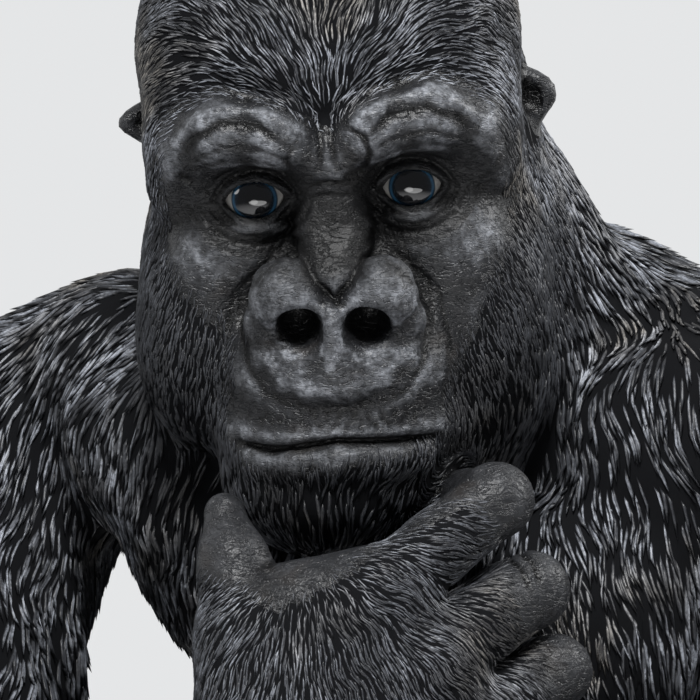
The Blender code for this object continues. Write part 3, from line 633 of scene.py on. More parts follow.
def untangle(inside):
    """Fills grid points until no square of the grid is crossed corner to corner: the skin is one sheet."""
    for _ in range(6):
        changed = False
        for a, b in ((0, 1), (0, 2), (1, 2)):
            grid = np.moveaxis(inside, (a, b), (0, 1))
            p, q, r, s = grid[:-1, :-1], grid[1:, :-1], grid[:-1, 1:], grid[1:, 1:]
            one = p & s & ~q & ~r
            two = q & r & ~p & ~s
            if one.any() or two.any():
                changed = True
                grid[1:, :-1] |= one
                grid[:-1, :-1] |= two
        if not changed:
            break
    return inside


def skin(clay):
    """The surface where the distance is zero: one point in each grid cell that it crosses."""
    inside = untangle(clay.distance < 0)
    distance = np.where(inside, np.minimum(clay.distance, -1e-3), np.maximum(clay.distance, 1e-3))
    cells = tuple(n - 1 for n in distance.shape)
    total = np.zeros((*cells, 3), np.float32)
    count = np.zeros(cells, np.float32)
    crossings = {}
    for axis in range(3):
        d = np.moveaxis(distance, axis, 0)
        a, b = d[:-1], d[1:]
        crossed = (a < 0) != (b < 0)
        share = np.where(crossed, a / np.where(crossed, a - b, 1), 0)
        crossings[axis] = np.moveaxis(crossed, 0, axis)
        share = np.moveaxis(share, 0, axis)
        others = [i for i in range(3) if i != axis]
        for u in (0, 1):
            for v in (0, 1):
                pick = [slice(None)] * 3
                pick[others[0]] = slice(u, u + cells[others[0]])
                pick[others[1]] = slice(v, v + cells[others[1]])
                hit = crossings[axis][tuple(pick)]
                count += hit
                total[..., axis] += share[tuple(pick)]
                total[..., others[0]] += hit * u
                total[..., others[1]] += hit * v
    used = count > 0
    index = np.full(cells, -1)
    index[used] = np.arange(used.sum())
    places = np.argwhere(used) + total[used] / count[used][:, None]
    points = clay.low + places * clay.step
    faces = []
    for axis in range(3):
        u, v = [i for i in range(3) if i != axis]
        at = np.argwhere(crossings[axis])
        at = at[(at[:, u] > 0) & (at[:, v] > 0) & (at[:, u] < cells[u]) & (at[:, v] < cells[v])]
        corners = []
        for du, dv in ((-1, -1), (0, -1), (0, 0), (-1, 0)):
            cell = at.copy()
            cell[:, u] += du
            cell[:, v] += dv
            corners.append(index[tuple(cell.T)])
        quad = np.stack(corners, 1)
        entering = distance[tuple(at.T)] > 0
        flip = entering if axis != 1 else ~entering
        quad[flip] = quad[flip][:, ::-1]
        faces.append(quad)
    return points, np.concatenate(faces)


# Places of the bare skin and of the coat

RIGHT_HAND_LIMBS = [(joints, radii) for joints, radii, _ in right_hand_limbs()]
LEFT_FINGER_LIMBS = [(joints, radii) for joints, radii, _ in left_hand_limbs()]
TOE_LIMBS = [(joints, radii) for joints, radii, _ in toe_limbs(-1, RIGHT_KNEE) + toe_limbs(1, LEFT_KNEE)]


def unit(vectors):
    return vectors / np.maximum(np.linalg.norm(vectors, axis=-1, keepdims=True), 1e-9)


def ramp(value, low, high):
    """0 below low, 1 above high and smooth between."""
    share = np.clip((value - low) / (high - low), 0, 1)
    return share * share * (3 - 2 * share)


def waves(points, length, seed, count=5):
    """A smooth random number from about -1 to 1 that changes over the given length."""
    chance = np.random.default_rng(seed)
    total = np.zeros(len(points))
    for _ in range(count):
        way = unit(chance.normal(size=3)) * 2 * math.pi / (length * chance.uniform(0.7, 1.5))
        total += np.sin(points @ way + chance.uniform(0, 2 * math.pi))
    return total / math.sqrt(count)


def settle(clay, points, times=2):
    """The points moved onto the clay's surface, and the surface's normals there."""
    h = clay.step
    normal = np.zeros_like(points)
    for _ in range(times):
        for axis in range(3):
            shift = np.zeros(3)
            shift[axis] = h
            normal[:, axis] = (read(clay, points + shift) - read(clay, points - shift)) / (2 * h)
        slope = np.maximum(np.linalg.norm(normal, axis=1), 0.2)
        points = points - normal * (read(clay, points) / slope**2)[:, None]
    return points, unit(normal)


def read(clay, points):
    """The distance at each point, blended from the eight grid points around it."""
    place = (points - clay.low) / clay.step
    top = np.array(clay.distance.shape) - 2
    cell = np.clip(np.floor(place).astype(int), 0, top)
    share = np.clip(place - cell, 0, 1)
    total = np.zeros(len(points))
    for corner in np.ndindex(2, 2, 2):
        weight = np.prod(np.where(corner, share, 1 - share), axis=1)
        total += weight * clay.distance[tuple((cell + corner).T)]
    return total


def in_picture(points):
    """Where the camera sees each point, in millimetres across and up from between the eyes."""
    x, y, z = VIEW.local(points.T)
    near = 1 + y / CAMERA_DISTANCE
    tilt = math.radians(CAMERA_ELEVATION)
    across = (x - AIM[0]) / near + AIM[0]
    up = ((z - AIM[2]) * math.cos(tilt) + y * math.sin(tilt)) / near + AIM[2]
    return across, up


def outline_gap(x, z, outline):
    """How far each point lies outside a closed outline, negative inside it."""
    gap = np.full(len(x), FAR)
    inside = np.zeros(len(x), bool)
    for (x1, z1), (x2, z2) in zip(outline, outline[1:] + outline[:1]):
        dx, dz = x2 - x1, z2 - z1
        share = np.clip(((x - x1) * dx + (z - z1) * dz) / (dx * dx + dz * dz), 0, 1)
        gap = np.minimum(gap, np.hypot(x - x1 - share * dx, z - z1 - share * dz))
        if dz:
            crossing = (z1 > z) != (z2 > z)
            inside ^= crossing & (x < dx * (z - z1) / dz + x1)
    return np.where(inside, -gap, gap)


# Outlines of the bare skin where the camera sees it, in millimetres across and up from between the eyes
FACE_OUTLINE = [(-76, 20), (-71, 33), (-60, 41), (-46, 44), (-32, 39), (-20, 33), (-9, 27), (0, 24)]
FACE_OUTLINE += [(6, 30), (18, 42), (30, 49), (46, 51), (60, 45), (70, 37), (77, 24), (79, 5), (78, -14)]
FACE_OUTLINE += [(70, -38), (58, -62), (51, -84), (51, -105), (44, -111), (25, -116), (-4, -122)]
FACE_OUTLINE += [(-31, -123), (-43, -116), (-48, -108), (-46, -90), (-43, -62), (-55, -52), (-66, -40)]
FACE_OUTLINE += [(-73, -22)]

HAND_OUTLINE = [(-90, -120), (-90, -168), (-56, -171), (-42, -175), (-24, -183), (0, -171), (17, -157)]
HAND_OUTLINE += [(44, -142), (64, -135), (71, -147), (73, -160), (78, -174), (82, -187), (91, -203)]
HAND_OUTLINE += [(98, -228), (106, -260), (140, -260), (140, -110), (-90, -110)]


def near_limbs(points, frame, limbs, extra):
    """How far each point lies outside the nearest of some limbs, each (points, radii)."""
    x, y, z = frame.local(points.T)
    here = np.stack([x, y, z], 1)
    gap = np.full(len(points), 1e6)
    for joints, radii in limbs:
        for a, b, near, far in zip(joints, joints[1:], radii, radii[1:]):
            a, along = np.array(a, float), np.array(b, float) - np.array(a, float)
            share = np.clip((here - a) @ along / (along @ along), 0, 1)
            distance = np.linalg.norm(here - a - share[:, None] * along, axis=1)
            gap = np.minimum(gap, distance - near - (far - near) * share)
    return gap - extra


def hair_gap(points, normals):
    """How far each point lies outside the bare skin, across the coat, and negative on the skin."""
    across, up = in_picture(points)
    across, up = across + 1.2 * waves(points, 9, 41), up + 1.2 * waves(points, 9, 42)
    x, y, z = HEAD.local(points.T)
    facing = -(normals @ VIEW.axes[:, 1])
    _, vy, vz = VIEW.local(points.T)
    near = near_limbs(points, VIEW, RIGHT_HAND_LIMBS, 0)
    in_hand = (near < SKIN_MARGIN) | ((near < 14) & (vy < -33) & (vz < -118))
    face = outline_gap(across, up, FACE_OUTLINE)
    face = np.where((y < FACE_BACK) & ((facing > -0.1) | (face < -5)) & ~in_hand, face, FAR)
    hand = np.where(facing < -0.25, -FAR, outline_gap(across, up, HAND_OUTLINE))
    hand = np.where(in_hand & (up > WRIST_LINE), hand, FAR)
    ear = (np.abs(x) > EAR_SPACING / 2 - 9) & (np.abs(y - 84) < 22) & (np.abs(z - EAR_HEIGHT + 6) < 20)
    left = near_limbs(points, BODY, LEFT_FINGER_LIMBS, SKIN_MARGIN)
    toes = near_limbs(points, BODY, TOE_LIMBS, SKIN_MARGIN)
    gap = np.minimum.reduce([face, hand, left, toes, points[:, 2] - SOLE_HEIGHT])
    return np.where(ear, -FAR, gap)


def lid_gap(x, z):
    """How far each point lies outside the outline of an eye's opening, seen from the front of the eye."""
    half, tall = LID_WIDTH / 2, LID_HEIGHT / 2
    radius = (half**2 + tall**2) / (2 * tall)
    arcs = [np.sqrt(x**2 + (z + sign * (radius - tall)) ** 2) - radius for sign in (-1, 1)]
    return np.maximum(*arcs)


def hollow_shade(points):
    """1 on most skin, less in the sockets, on the nose's bridge, the lower lip and the lids' rims."""
    x, _, z = HEAD.local(points.T)
    side = np.abs(x) - EYE_SPACING / 2
    lids = 0.12 + 0.88 * ramp(lid_gap(side, z), 1.2, 4.0)
    socket = 0.22 + 0.78 * ramp(np.hypot((side + 3) / 33, (z + 11) / 29), 0.6, 1.25)
    bridge = 0.05 + 0.95 * ramp(np.hypot(x / 18, (z + 15) / 22), 0.55, 1.25)
    across, _, up = JAW.local(points.T)
    lip = 0.5 + 0.5 * ramp(np.hypot(across / 50, (up + MOUTH_DROP + 10) / 12), 0.7, 1.1)
    return lids * socket * bridge * lip


def hand_share(points):
    """1 on the right hand, and down to 0 a little way off it."""
    return 1 - ramp(near_limbs(points, VIEW, RIGHT_HAND_LIMBS, SKIN_MARGIN), *HAND_COMB)


def hair_flow(points):
    """The way the hair lies at each point, before it is laid along the surface."""
    x, y, z = HEAD.local(points.T)
    reach = np.sqrt(x**2 + (z - 32) ** 2 + 120)
    fan = np.stack([x / reach, np.full(len(x), 0.5), (z - 32) / reach - 0.9 * (x / 80) ** 2], 1)
    cheek = np.stack([x / 320, np.full(len(x), 0.18), np.full(len(x), -1.0)], 1)
    nape = np.stack([x / 200, np.full(len(x), 0.25), np.full(len(x), -1.0)], 1)
    top = ramp(z, -14, 44)[:, None]
    head = fan * top + cheek * (1 - top)
    back = ramp(y, 76, 150)[:, None]
    head = (head * (1 - back) + nape * back) @ HEAD.axes.T
    vx, _, vz = VIEW.local(points.T)
    spread = np.stack([vx + 18, np.zeros(len(points)), vz + 148], 1)
    hand = (unit(spread) + (0, 0, -0.2)) @ VIEW.axes.T
    outward = (points[:, 0] - BODY_MIDDLE) / 420, (points[:, 1] - 40) / 420
    body = np.stack([*outward, np.full(len(x), -1.0)], 1)
    from_head = np.linalg.norm(np.stack([x, y - 50, z - 10]), axis=0)
    on_head = (1 - ramp(from_head, *HEAD_COMB))[:, None]
    in_hand = hand_share(points)[:, None]
    flow = unit(body * (1 - on_head) + head * on_head)
    return unit(flow * (1 - in_hand) + hand * in_hand)


def growth(points):
    """How large the strokes are: 1 on the head and the right hand, larger down the body."""
    x, y, z = HEAD.local(points.T)
    off_head = ramp(np.linalg.norm(np.stack([x, (y - 40) * 0.9, z - 10]), axis=0), *HEAD_GROWTH)
    off_hand = ramp(near_limbs(points, VIEW, RIGHT_HAND_LIMBS, 0), *HAND_GROWTH)
    _, vy, vz = VIEW.local(points.T)
    far = np.clip(ramp(-vz, *CHEST_DROP) + ramp(vy, *CHEST_DEPTH), 0, 1)
    return 1 + off_head * off_hand * (CHEST_GROWTH - 1 + (BODY_GROWTH - CHEST_GROWTH) * far)


# Meshes


def fast_mesh(name, points, faces):
    """A mesh from an array of points and a list of arrays of triangles or quads."""
    mesh = bpy.data.meshes.new(name)
    mesh.vertices.add(len(points))
    mesh.vertices.foreach_set("co", np.asarray(points, np.float32).ravel())
    corners = np.concatenate([f.ravel() for f in faces])
    sizes = np.concatenate([np.full(len(f), f.shape[1]) for f in faces])
    mesh.loops.add(len(corners))
    mesh.loops.foreach_set("vertex_index", corners.astype(np.int32))
    mesh.polygons.add(len(sizes))
    starts = np.concatenate([[0], np.cumsum(sizes)[:-1]])
    mesh.polygons.foreach_set("loop_start", starts.astype(np.int32))
    mesh.update(calc_edges=True)
    return mesh


def paint(mesh, name, values):
    layer = mesh.attributes.new(name, "FLOAT", "POINT")
    layer.data.foreach_set("value", np.asarray(values, np.float32))


def placed(name, data):
    """An object of the scene for a mesh, a light or a camera."""
    thing = bpy.data.objects.new(name, data)
    bpy.context.scene.collection.objects.link(thing)
    return thing


def piece(name, mesh, material, slot, *nodes):
    """A piece of the figurine in the scene."""
    mesh.materials.append(material)
    thing = placed(name, mesh)
    mesh.shade_smooth()
    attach(thing, "root")
    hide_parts(*nodes)


def box_distance(clay, low, high):
    """The distance of every grid point from a box, negative inside it."""
    sides = [np.maximum(a - ax, ax - b) for a, b, ax in zip(low, high, clay.axes)]
    return np.maximum(
        np.maximum(sides[0][:, None, None], sides[1][None, :, None]), sides[2][None, None, :]
    ).astype(np.float32)


def thinned(name, mesh, ratio):
    """The mesh with fewer triangles where it is flat."""
    thing = placed(name, mesh)
    thin = thing.modifiers.new("thin", "DECIMATE")
    thin.ratio = ratio
    graph = bpy.context.evaluated_depsgraph_get()
    result = bpy.data.meshes.new_from_object(thing.evaluated_get(graph))
    bpy.data.objects.remove(thing)
    return result


def mesh_points(mesh):
    points = np.empty(len(mesh.vertices) * 3, np.float32)
    mesh.vertices.foreach_get("co", points)
    normals = np.empty(len(mesh.vertices) * 3, np.float32)
    mesh.vertices.foreach_get("normal", normals)
    return points.reshape(-1, 3).astype(float) / MM, normals.reshape(-1, 3).astype(float)


def relief(mesh, rounds):
    """How far each point stands out of the surface around it, in millimetres."""
    points, normals = mesh_points(mesh)
    ends = np.empty(len(mesh.edges) * 2, np.int32)
    mesh.edges.foreach_get("vertices", ends)
    a, b = ends.reshape(-1, 2).T
    here, there = np.concatenate([a, b]), np.concatenate([b, a])
    count = np.bincount(here, minlength=len(points))[:, None]
    smooth = points.copy()
    for _ in range(rounds):
        total = np.stack([np.bincount(here, smooth[there, i], len(points)) for i in range(3)], 1)
        smooth = smooth * 0.3 + 0.7 * total / np.maximum(count, 1)
    return np.einsum("ij,ij->i", points - smooth, normals)


def largest_only(points, faces):
    """Drops the crumbs of a skin: its sheets of no more than 200 points."""
    label = np.arange(len(points))
    for _ in range(400):
        low = label[faces].min(1)
        new = label.copy()
        np.minimum.at(new, faces.ravel(), np.repeat(low, faces.shape[1]))
        new = new[new]
        if (new == label).all():
            break
        label = new
    names, count = np.unique(label, return_counts=True)
    kept = np.isin(label, names[count > 200])
    index = np.cumsum(kept) - 1
    return points[kept], index[faces[kept[faces].all(1)]]


def grained(mesh, height):
    """Raises fine ridges on the bare parts of the mesh."""
    points, normals = mesh_points(mesh)
    ridge = 1 - 2 * np.abs(waves(points, 5.5, 3)) + 0.5 * waves(points, 2.6, 5)
    ridge = ridge + 0.8 * waves(points * (1, 1, 2.2), 6, 8)
    points = points + normals * (height * (hair_gap(points, normals) < 0) * ridge)[:, None]
    mesh.vertices.foreach_set("co", (points * MM).astype(np.float32).ravel())
    mesh.update()


def skin_values(mesh, rounds):
    """Paints what the skin's material reads, and gives how far each point lies outside the bare skin."""
    points, normals = mesh_points(mesh)
    gap = hair_gap(points, normals)
    paint(mesh, "bare", 1 - ramp(gap, -1, HAIRLINE))
    paint(mesh, "shade", hollow_shade(points))
    paint(mesh, "relief", np.clip(relief(mesh, rounds) / FINE_RELIEF + 0.5, 0, 1))
    x, y, z = HEAD.local(points.T)
    # Painted highlight: form is raised on the front of the nose and muzzle, and capped off the face and near
    # the right hand
    painted_snout_highlight = 0.17 * (1 - ramp(np.hypot(x / 40, (z + 66) / 36), 0.6, 1.1))
    on_face = (np.abs(x) < SKULL_WIDTH / 2) & (y < FACE_BACK) & (z > 8 - CHIN_DROP)
    on_face &= near_limbs(points, VIEW, RIGHT_HAND_LIMBS, 0) > 3
    form = relief(mesh, 9 * rounds) / BROAD_RELIEF + 0.5 + painted_snout_highlight
    paint(mesh, "form", np.clip(form, 0, np.where(on_face, 1, OFF_FACE_FORM_CAP)))
    return gap


def body_piece(name, clay, looks, ratio, rounds, keep_in=None, cut_out=(), grain=0.0):
    """A closed piece of the clay, inside one box and outside some others, painted for its materials.

    ratio is the share of its triangles that is kept, rounds is how widely its relief is measured, and
    grain is the height of the fine ridges on its bare skin.
    """
    form = Clay(clay.low, [axis[-1] for axis in clay.axes], clay.step)
    form.distance = clay.distance
    if keep_in:
        form.distance = np.maximum(form.distance, box_distance(clay, *keep_in))
    overlap = OVERLAP_STEPS * clay.step
    for low, high in cut_out:
        inner = box_distance(clay, np.array(low) + overlap, np.array(high) - overlap)
        form.distance = np.maximum(form.distance, -inner)
    edge = np.ones(form.distance.shape, bool)
    edge[1:-1, 1:-1, 1:-1] = False
    form.distance = np.where(edge, 1.0, form.distance)
    points, faces = largest_only(*skin(form))
    points[:, 2] = np.maximum(points[:, 2], FLOOR_GAP)
    mesh = fast_mesh(name, points * MM, [faces])
    if ratio < 1:
        mesh = thinned(name, mesh, ratio)
    if grain:
        grained(mesh, grain)
    gap = skin_values(mesh, rounds)
    piece(name, mesh, looks[0], "cast_resin", "gorilla_body")
    mesh.materials.append(looks[1])
    corner = np.empty(len(mesh.loops), np.int32)
    mesh.loops.foreach_get("vertex_index", corner)
    start = np.empty(len(mesh.polygons), np.int32)
    mesh.polygons.foreach_get("loop_start", start)
    mesh.polygons.foreach_set("material_index", (gap[corner[start]] > HAIRLINE).astype(np.int32))
    mesh.set_sharp_from_angle(angle=math.radians(SHARP_ANGLE))


# The coat


def roots(clay, spacing, seed):
    """Places for strokes, about one in each cube of the given side, spread over the clay's surface."""
    points, _ = skin(clay)
    chance = np.random.default_rng(seed)
    points = np.repeat(points[chance.permutation(len(points))], 3, axis=0)
    points = points + chance.normal(size=points.shape) * 0.4 * clay.step
    points = points[chance.permutation(len(points))]
    points, normals = settle(clay, points)
    cell = np.floor(points / spacing).astype(np.int64)
    key = (cell[:, 0] * 4096 + cell[:, 1]) * 4096 + cell[:, 2]
    _, first = np.unique(key, return_index=True)
    return points[first], normals[first]


def stroke_lines(clay, places, length, sizes, turn):
    """Points along each stroke, combed the way the hair lies, and the surface's normals there."""
    line = np.empty((len(places), STROKE_STEPS + 1, 3))
    normal = np.empty_like(line)
    point = places
    for k in range(STROKE_STEPS + 1):
        point, up = settle(clay, point, 2 if k == 0 else 1)
        line[:, k], normal[:, k] = point, up
        way = hair_flow(point)
        way = unit(way - up * np.einsum("ij,ij->i", way, up)[:, None])
        side = np.cross(up, way)
        sway = waves(point / sizes[:, None], WAVE_LENGTH, 21) * SWAY + turn
        sway = sway + FINE_SWAY * waves(point / sizes[:, None], WAVE_LENGTH * 0.4, 22)
        way = unit(way + side * sway[:, None])
        point = point + way * (length / STROKE_STEPS)[:, None]
    return line, normal


def stroke_faces(count, per):
    """For each stroke of per points: triangles at its two ends and quads between its rings of three."""
    rings = STROKE_STEPS - 1
    last = 1 + 3 * (rings - 1)
    triangles, quads = [], []
    for a in range(3):
        b = (a + 1) % 3
        triangles.append((0, 1 + a, 1 + b))
        triangles.append((per - 1, last + b, last + a))
        for ring in range(1, last, 3):
            quads.append((ring + a, ring + 3 + a, ring + 3 + b, ring + b))
    start = (np.arange(count) * per)[:, None, None]
    return [(np.array(faces)[None] + start).reshape(-1, len(faces[0])) for faces in (triangles, quads)]


def strokes(name, clay, places, material, sizes, seed):
    """Short carved ridges of hair, each a closed sliver half sunk in the surface and pointed at its ends."""
    chance = np.random.default_rng(seed)
    count = len(places)
    length = STROKE_LENGTH * sizes * chance.uniform(*LENGTH_RANGE, count)
    turn = chance.normal(size=count) * TURN_SPREAD
    line, normal = stroke_lines(clay, places, length, sizes, turn)
    side = unit(np.cross(normal, unit(np.gradient(line, axis=1))))
    share = np.linspace(0, 1, STROKE_STEPS + 1)[None, :, None]
    width = (STROKE_WIDTH / 2 * sizes * chance.uniform(*WIDTH_RANGE, count))[:, None, None]
    height = (STROKE_HEIGHT * sizes * chance.uniform(*HEIGHT_RANGE, count))[:, None, None]
    taper = np.sin(np.pi * np.clip(share * 0.86 + 0.1, 0, 1)) ** 0.7
    rise = height * taper * (0.5 + 0.7 * share)
    lift = (0.25 + 1.2 * np.clip(sizes - 1, 0, 1))[:, None, None]
    sink = SINK * sizes[:, None, None]
    left = line - side * width * taper - normal * sink
    right = line + side * width * taper - normal * sink
    crest = line + normal * rise
    first = line[:, :1] - normal[:, :1] * sink
    last = line[:, -1:] + normal[:, -1:] * height * lift
    rings = np.stack([left[:, 1:-1], crest[:, 1:-1], right[:, 1:-1]], 2).reshape(count, -1, 3)
    points = np.concatenate([first, rings, last], 1)
    points[..., 2] = np.maximum(points[..., 2], FLOOR_GAP)
    per = points.shape[1]
    mesh = fast_mesh(name, points.reshape(-1, 3) * MM, stroke_faces(count, per))
    shade = np.zeros((count, per))
    shade[:, 2 : per - 1 : 3] = 1
    shade[:, -1] = 0.7
    paint(mesh, "rise", shade.ravel())
    # Painted shade: the strokes' highlights dimmed on the cheeks and the chin under the head, and less on the
    # right hand under the chin; besides that their tone differs at random
    x, y, z = HEAD.local(places.T)
    below = ramp(-z, 5, 40) * (1 - ramp(np.hypot(x, y - 30), 95, 125)) * ramp(z, -150, -135)
    painted_shade = np.maximum(0.7 * below, 0.35 * hand_share(places))
    paint(mesh, "tone_and_shade", np.repeat(chance.uniform(0, 1, count) * (1 - painted_shade), per))
    piece(name, mesh, material, "cast_resin", "gorilla_body")


# Materials


class Look:
    """The nodes of a material or a backdrop, with short ways to add and join them."""

    def __init__(self, owner):
        owner.use_nodes = True
        self.owner = owner
        self.nodes = owner.node_tree.nodes

    def join(self, value, socket):
        """Gives an input another node's output, a number or a colour."""
        if isinstance(value, bpy.types.NodeSocket):
            self.owner.node_tree.links.new(value, socket)
        else:
            socket.default_value = value

    def add(self, kind, inputs, output=0, **settings):
        """Adds a node with its settings and inputs, and gives one of its outputs."""
        node = self.nodes.new("ShaderNode" + kind)
        for name, value in settings.items():
            setattr(node, name, value)
        for name, value in inputs.items():
            self.join(value, node.inputs[name])
        return node.outputs[output]

    def surface(self, inputs):
        """Sets inputs of the shader and gives the material."""
        for name, value in inputs.items():
            self.join(value, self.nodes["Principled BSDF"].inputs[name])
        return self.owner

    def attribute(self, name):
        return self.add("Attribute", {}, "Fac", attribute_name=name)

    def place(self, space="Object"):
        return self.add("TexCoord", {}, space)

    def mixed(self, share, a, b):
        """A colour between a and b."""
        return self.add("Mix", {"Factor": share, 6: a, 7: b}, 2, data_type="RGBA")

    def ranged(self, value, low, high, to_low=0.0, to_high=1.0):
        """A value taken smoothly from one range to another."""
        ends = {"From Min": low, "From Max": high, "To Min": to_low, "To Max": to_high}
        return self.add("MapRange", {"Value": value, **ends}, "Result", interpolation_type="SMOOTHSTEP")

    def noise(self, scale, detail=3.0, roughness=0.6):
        """Noise over the object's own coordinates, with scale in cycles a metre."""
        inputs = {"Vector": self.place(), "Scale": scale, "Detail": detail, "Roughness": roughness}
        return self.add("TexNoise", inputs, "Fac")

    def number(self, operation, a, b=0.5):
        return self.add("Math", {0: a, 1: b}, operation=operation)

    def vector(self, operation, a, output, b=(0, 0, 0)):
        return self.add("VectorMath", {0: a, 1: b}, output, operation=operation)

    def product(self, a, b):
        return self.number("MULTIPLY", a, b)

    def bump(self, height, distance, strength):
        """Fine relief on the shader's normal, from a height and how many metres it stands for."""
        inputs = {"Height": height, "Distance": distance, "Strength": strength}
        return self.add("Bump", inputs, "Normal")


def fur_material():
    """Carved hair: painted shade near black in the grooves, grey on the flanks, and painted highlights on the
    crests, partly dry-brushed paint.
    """
    look = Look(bpy.data.materials.new("carved_fur"))
    rise = look.attribute("rise")
    painted_highlight_wear = look.ranged(look.noise(45), 0.35, 0.65, 0.22, 1.0)
    flecks = look.ranged(look.noise(520, 2), 0.3, 0.62, 0.35, 1.0)
    # Random tone of each stroke, with the painted shade on the cheeks, the chin and the hand
    tone_and_shade = look.ranged(look.attribute("tone_and_shade"), 0.1, 1.0, 0.12, 1.0)
    # Painted highlight along each stroke's crest, broken up at random by wear and flecks
    crest = look.product(look.ranged(rise, 0.35, 0.95), tone_and_shade)
    share = look.product(crest, look.product(painted_highlight_wear, flecks))
    tinge = look.ranged(look.noise(16, 2), 0.5, 0.68)
    pale = look.mixed(tinge, FUR_HIGHLIGHT, FUR_WARM_HIGHLIGHT)
    # Painted shade at the foot of each stroke, going to grey up its flanks
    flank = look.mixed(look.ranged(rise, 0.04, 0.5), STROKE_FOOT_SHADE, FUR_GREY)
    colour = look.mixed(share, flank, pale)
    grain = look.bump(look.noise(700, 3), 0.0004, 0.35)
    return look.surface({"Base Color": colour, "Roughness": 0.4, "Specular IOR Level": 0.35, "Normal": grain})


def groove_material():
    """The ground between the strokes of the coat, with painted shade darker than their flanks."""
    look = Look(bpy.data.materials.new("coat_groove"))
    grain = look.bump(look.noise(500, 3), 0.0004, 0.3)
    return look.surface({"Base Color": COAT_GROUND_SHADE, "Roughness": 0.9, "Specular IOR Level": 0.04, "Normal": grain})


def skin_material():
    """Bare skin: dark grey, with painted highlights in patches on what stands out, partly dry-brushed paint,
    and painted shade near black in the folds and hollows.
    """
    look = Look(bpy.data.materials.new("bare_skin"))
    stands, form, hollow = [look.attribute(name) for name in ("relief", "form", "shade")]
    high = look.ranged(stands, 0.5, 0.72, 0.22, 1.0)
    crest = look.ranged(form, 0.53, 0.92)
    blotch = look.ranged(look.noise(110), 0.38, 0.68, 0.25, 1.0)
    flecks = look.ranged(look.noise(480, 3), 0.3, 0.65, 0.4, 1.0)
    # Painted highlight on what stands out, broken into random patches of wear
    painted_highlight_wear = look.product(look.product(high, crest), look.product(blotch, flecks))
    tinge = look.ranged(look.noise(38, 2), 0.58, 0.75, 0.0, 0.35)
    ground = look.mixed(tinge, SKIN_GREY, WARM_TINGE)
    # Painted shade in the broad hollows of the skin
    ground = look.mixed(look.ranged(form, 0.05, 0.5), SKIN_PAINTED_SHADE, ground)
    light = look.mixed(painted_highlight_wear, ground, SKIN_HIGHLIGHT)
    # Painted shade in the fine folds
    flesh = look.mixed(look.ranged(stands, 0.22, 0.47), SKIN_PAINTED_SHADE, light)
    # Painted shade in the sockets, over the nose's bridge, on the lower lip and the lids' rims
    flesh = look.mixed(hollow, SKIN_PAINTED_SHADE, flesh)
    # Off the bare skin, the coat's ground with its painted shade
    colour = look.mixed(look.attribute("bare"), COAT_GROUND_SHADE, flesh)
    rough = look.ranged(hollow, 0.2, 1.0, 0.5, 0.36)
    folds = look.bump(wrinkles(look), 0.0009, 0.6)
    inputs = {"Base Color": colour, "Roughness": rough, "Specular IOR Level": 0.4, "Normal": folds}
    return look.surface(inputs)


def wrinkles(look):
    """A height with fine lines that lie mostly across, over a finer grain."""
    squeezed = look.add("Mapping", {"Vector": look.place(), "Scale": (1, 1, 2.6)}, "Vector")
    lines = look.add("TexNoise", {"Vector": squeezed, "Scale": 150, "Detail": 3, "Distortion": 0.6}, "Fac")
    away = look.number("ABSOLUTE", look.number("SUBTRACT", lines))
    cut = look.ranged(away, 0.0, 0.05)
    grain = look.ranged(look.noise(520, 3, 0.7), 0.2, 0.8, 0.0, 0.5)
    return look.number("ADD", cut, grain)


def eye_material():
    """A black pupil in a dark iris with a blue rim, and the off-white of the corners, under clear gloss."""
    look = Look(bpy.data.materials.new("eye_gloss"))
    scale = 1 / (EYE_RADIUS * MM)
    flat = look.vector("MULTIPLY", look.place(), 0, (scale, 0, scale))
    ring = look.nodes.new("ShaderNodeValToRGB")
    look.join(look.vector("LENGTH", flat, "Value"), ring.inputs["Fac"])
    stops = ring.color_ramp.elements
    for stop, (share, colour) in zip(stops, (EYE_RINGS[0], EYE_RINGS[-1])):
        stop.position, stop.color = share, (*colour, 1)
    for share, colour in EYE_RINGS[1:-1]:
        stops.new(share).color = (*colour, 1)
    gloss = {"Coat Weight": 1.0, "Coat Roughness": 0.05, "Coat IOR": 1.8}
    colour = ring.outputs["Color"]
    return look.surface({"Base Color": colour, "Roughness": 0.3, "Specular IOR Level": 0.0, **gloss})


def eyeball(name, side, material):
    """One glossy eye, turned with the head."""
    shape = bmesh.new()
    bmesh.ops.create_uvsphere(shape, u_segments=48, v_segments=32, radius=EYE_RADIUS * MM)
    ahead = Matrix.Rotation(math.radians(90), 3, "X")
    bmesh.ops.rotate(shape, verts=shape.verts, cent=(0, 0, 0), matrix=ahead)
    mesh = bpy.data.meshes.new(name)
    shape.to_mesh(mesh)
    shape.free()
    mesh.materials.append(material)
    mesh.shade_smooth()
    thing = placed(name + "_ball", mesh)
    centre = Vector(HEAD.world((side * EYE_SPACING / 2, EYE_DEPTH, 0)) * MM)
    thing.matrix_world = Matrix.Translation(centre) @ Matrix(HEAD.axes.tolist()).to_4x4()
    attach(thing, "root")
    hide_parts(name)


# Creases of the bare skin


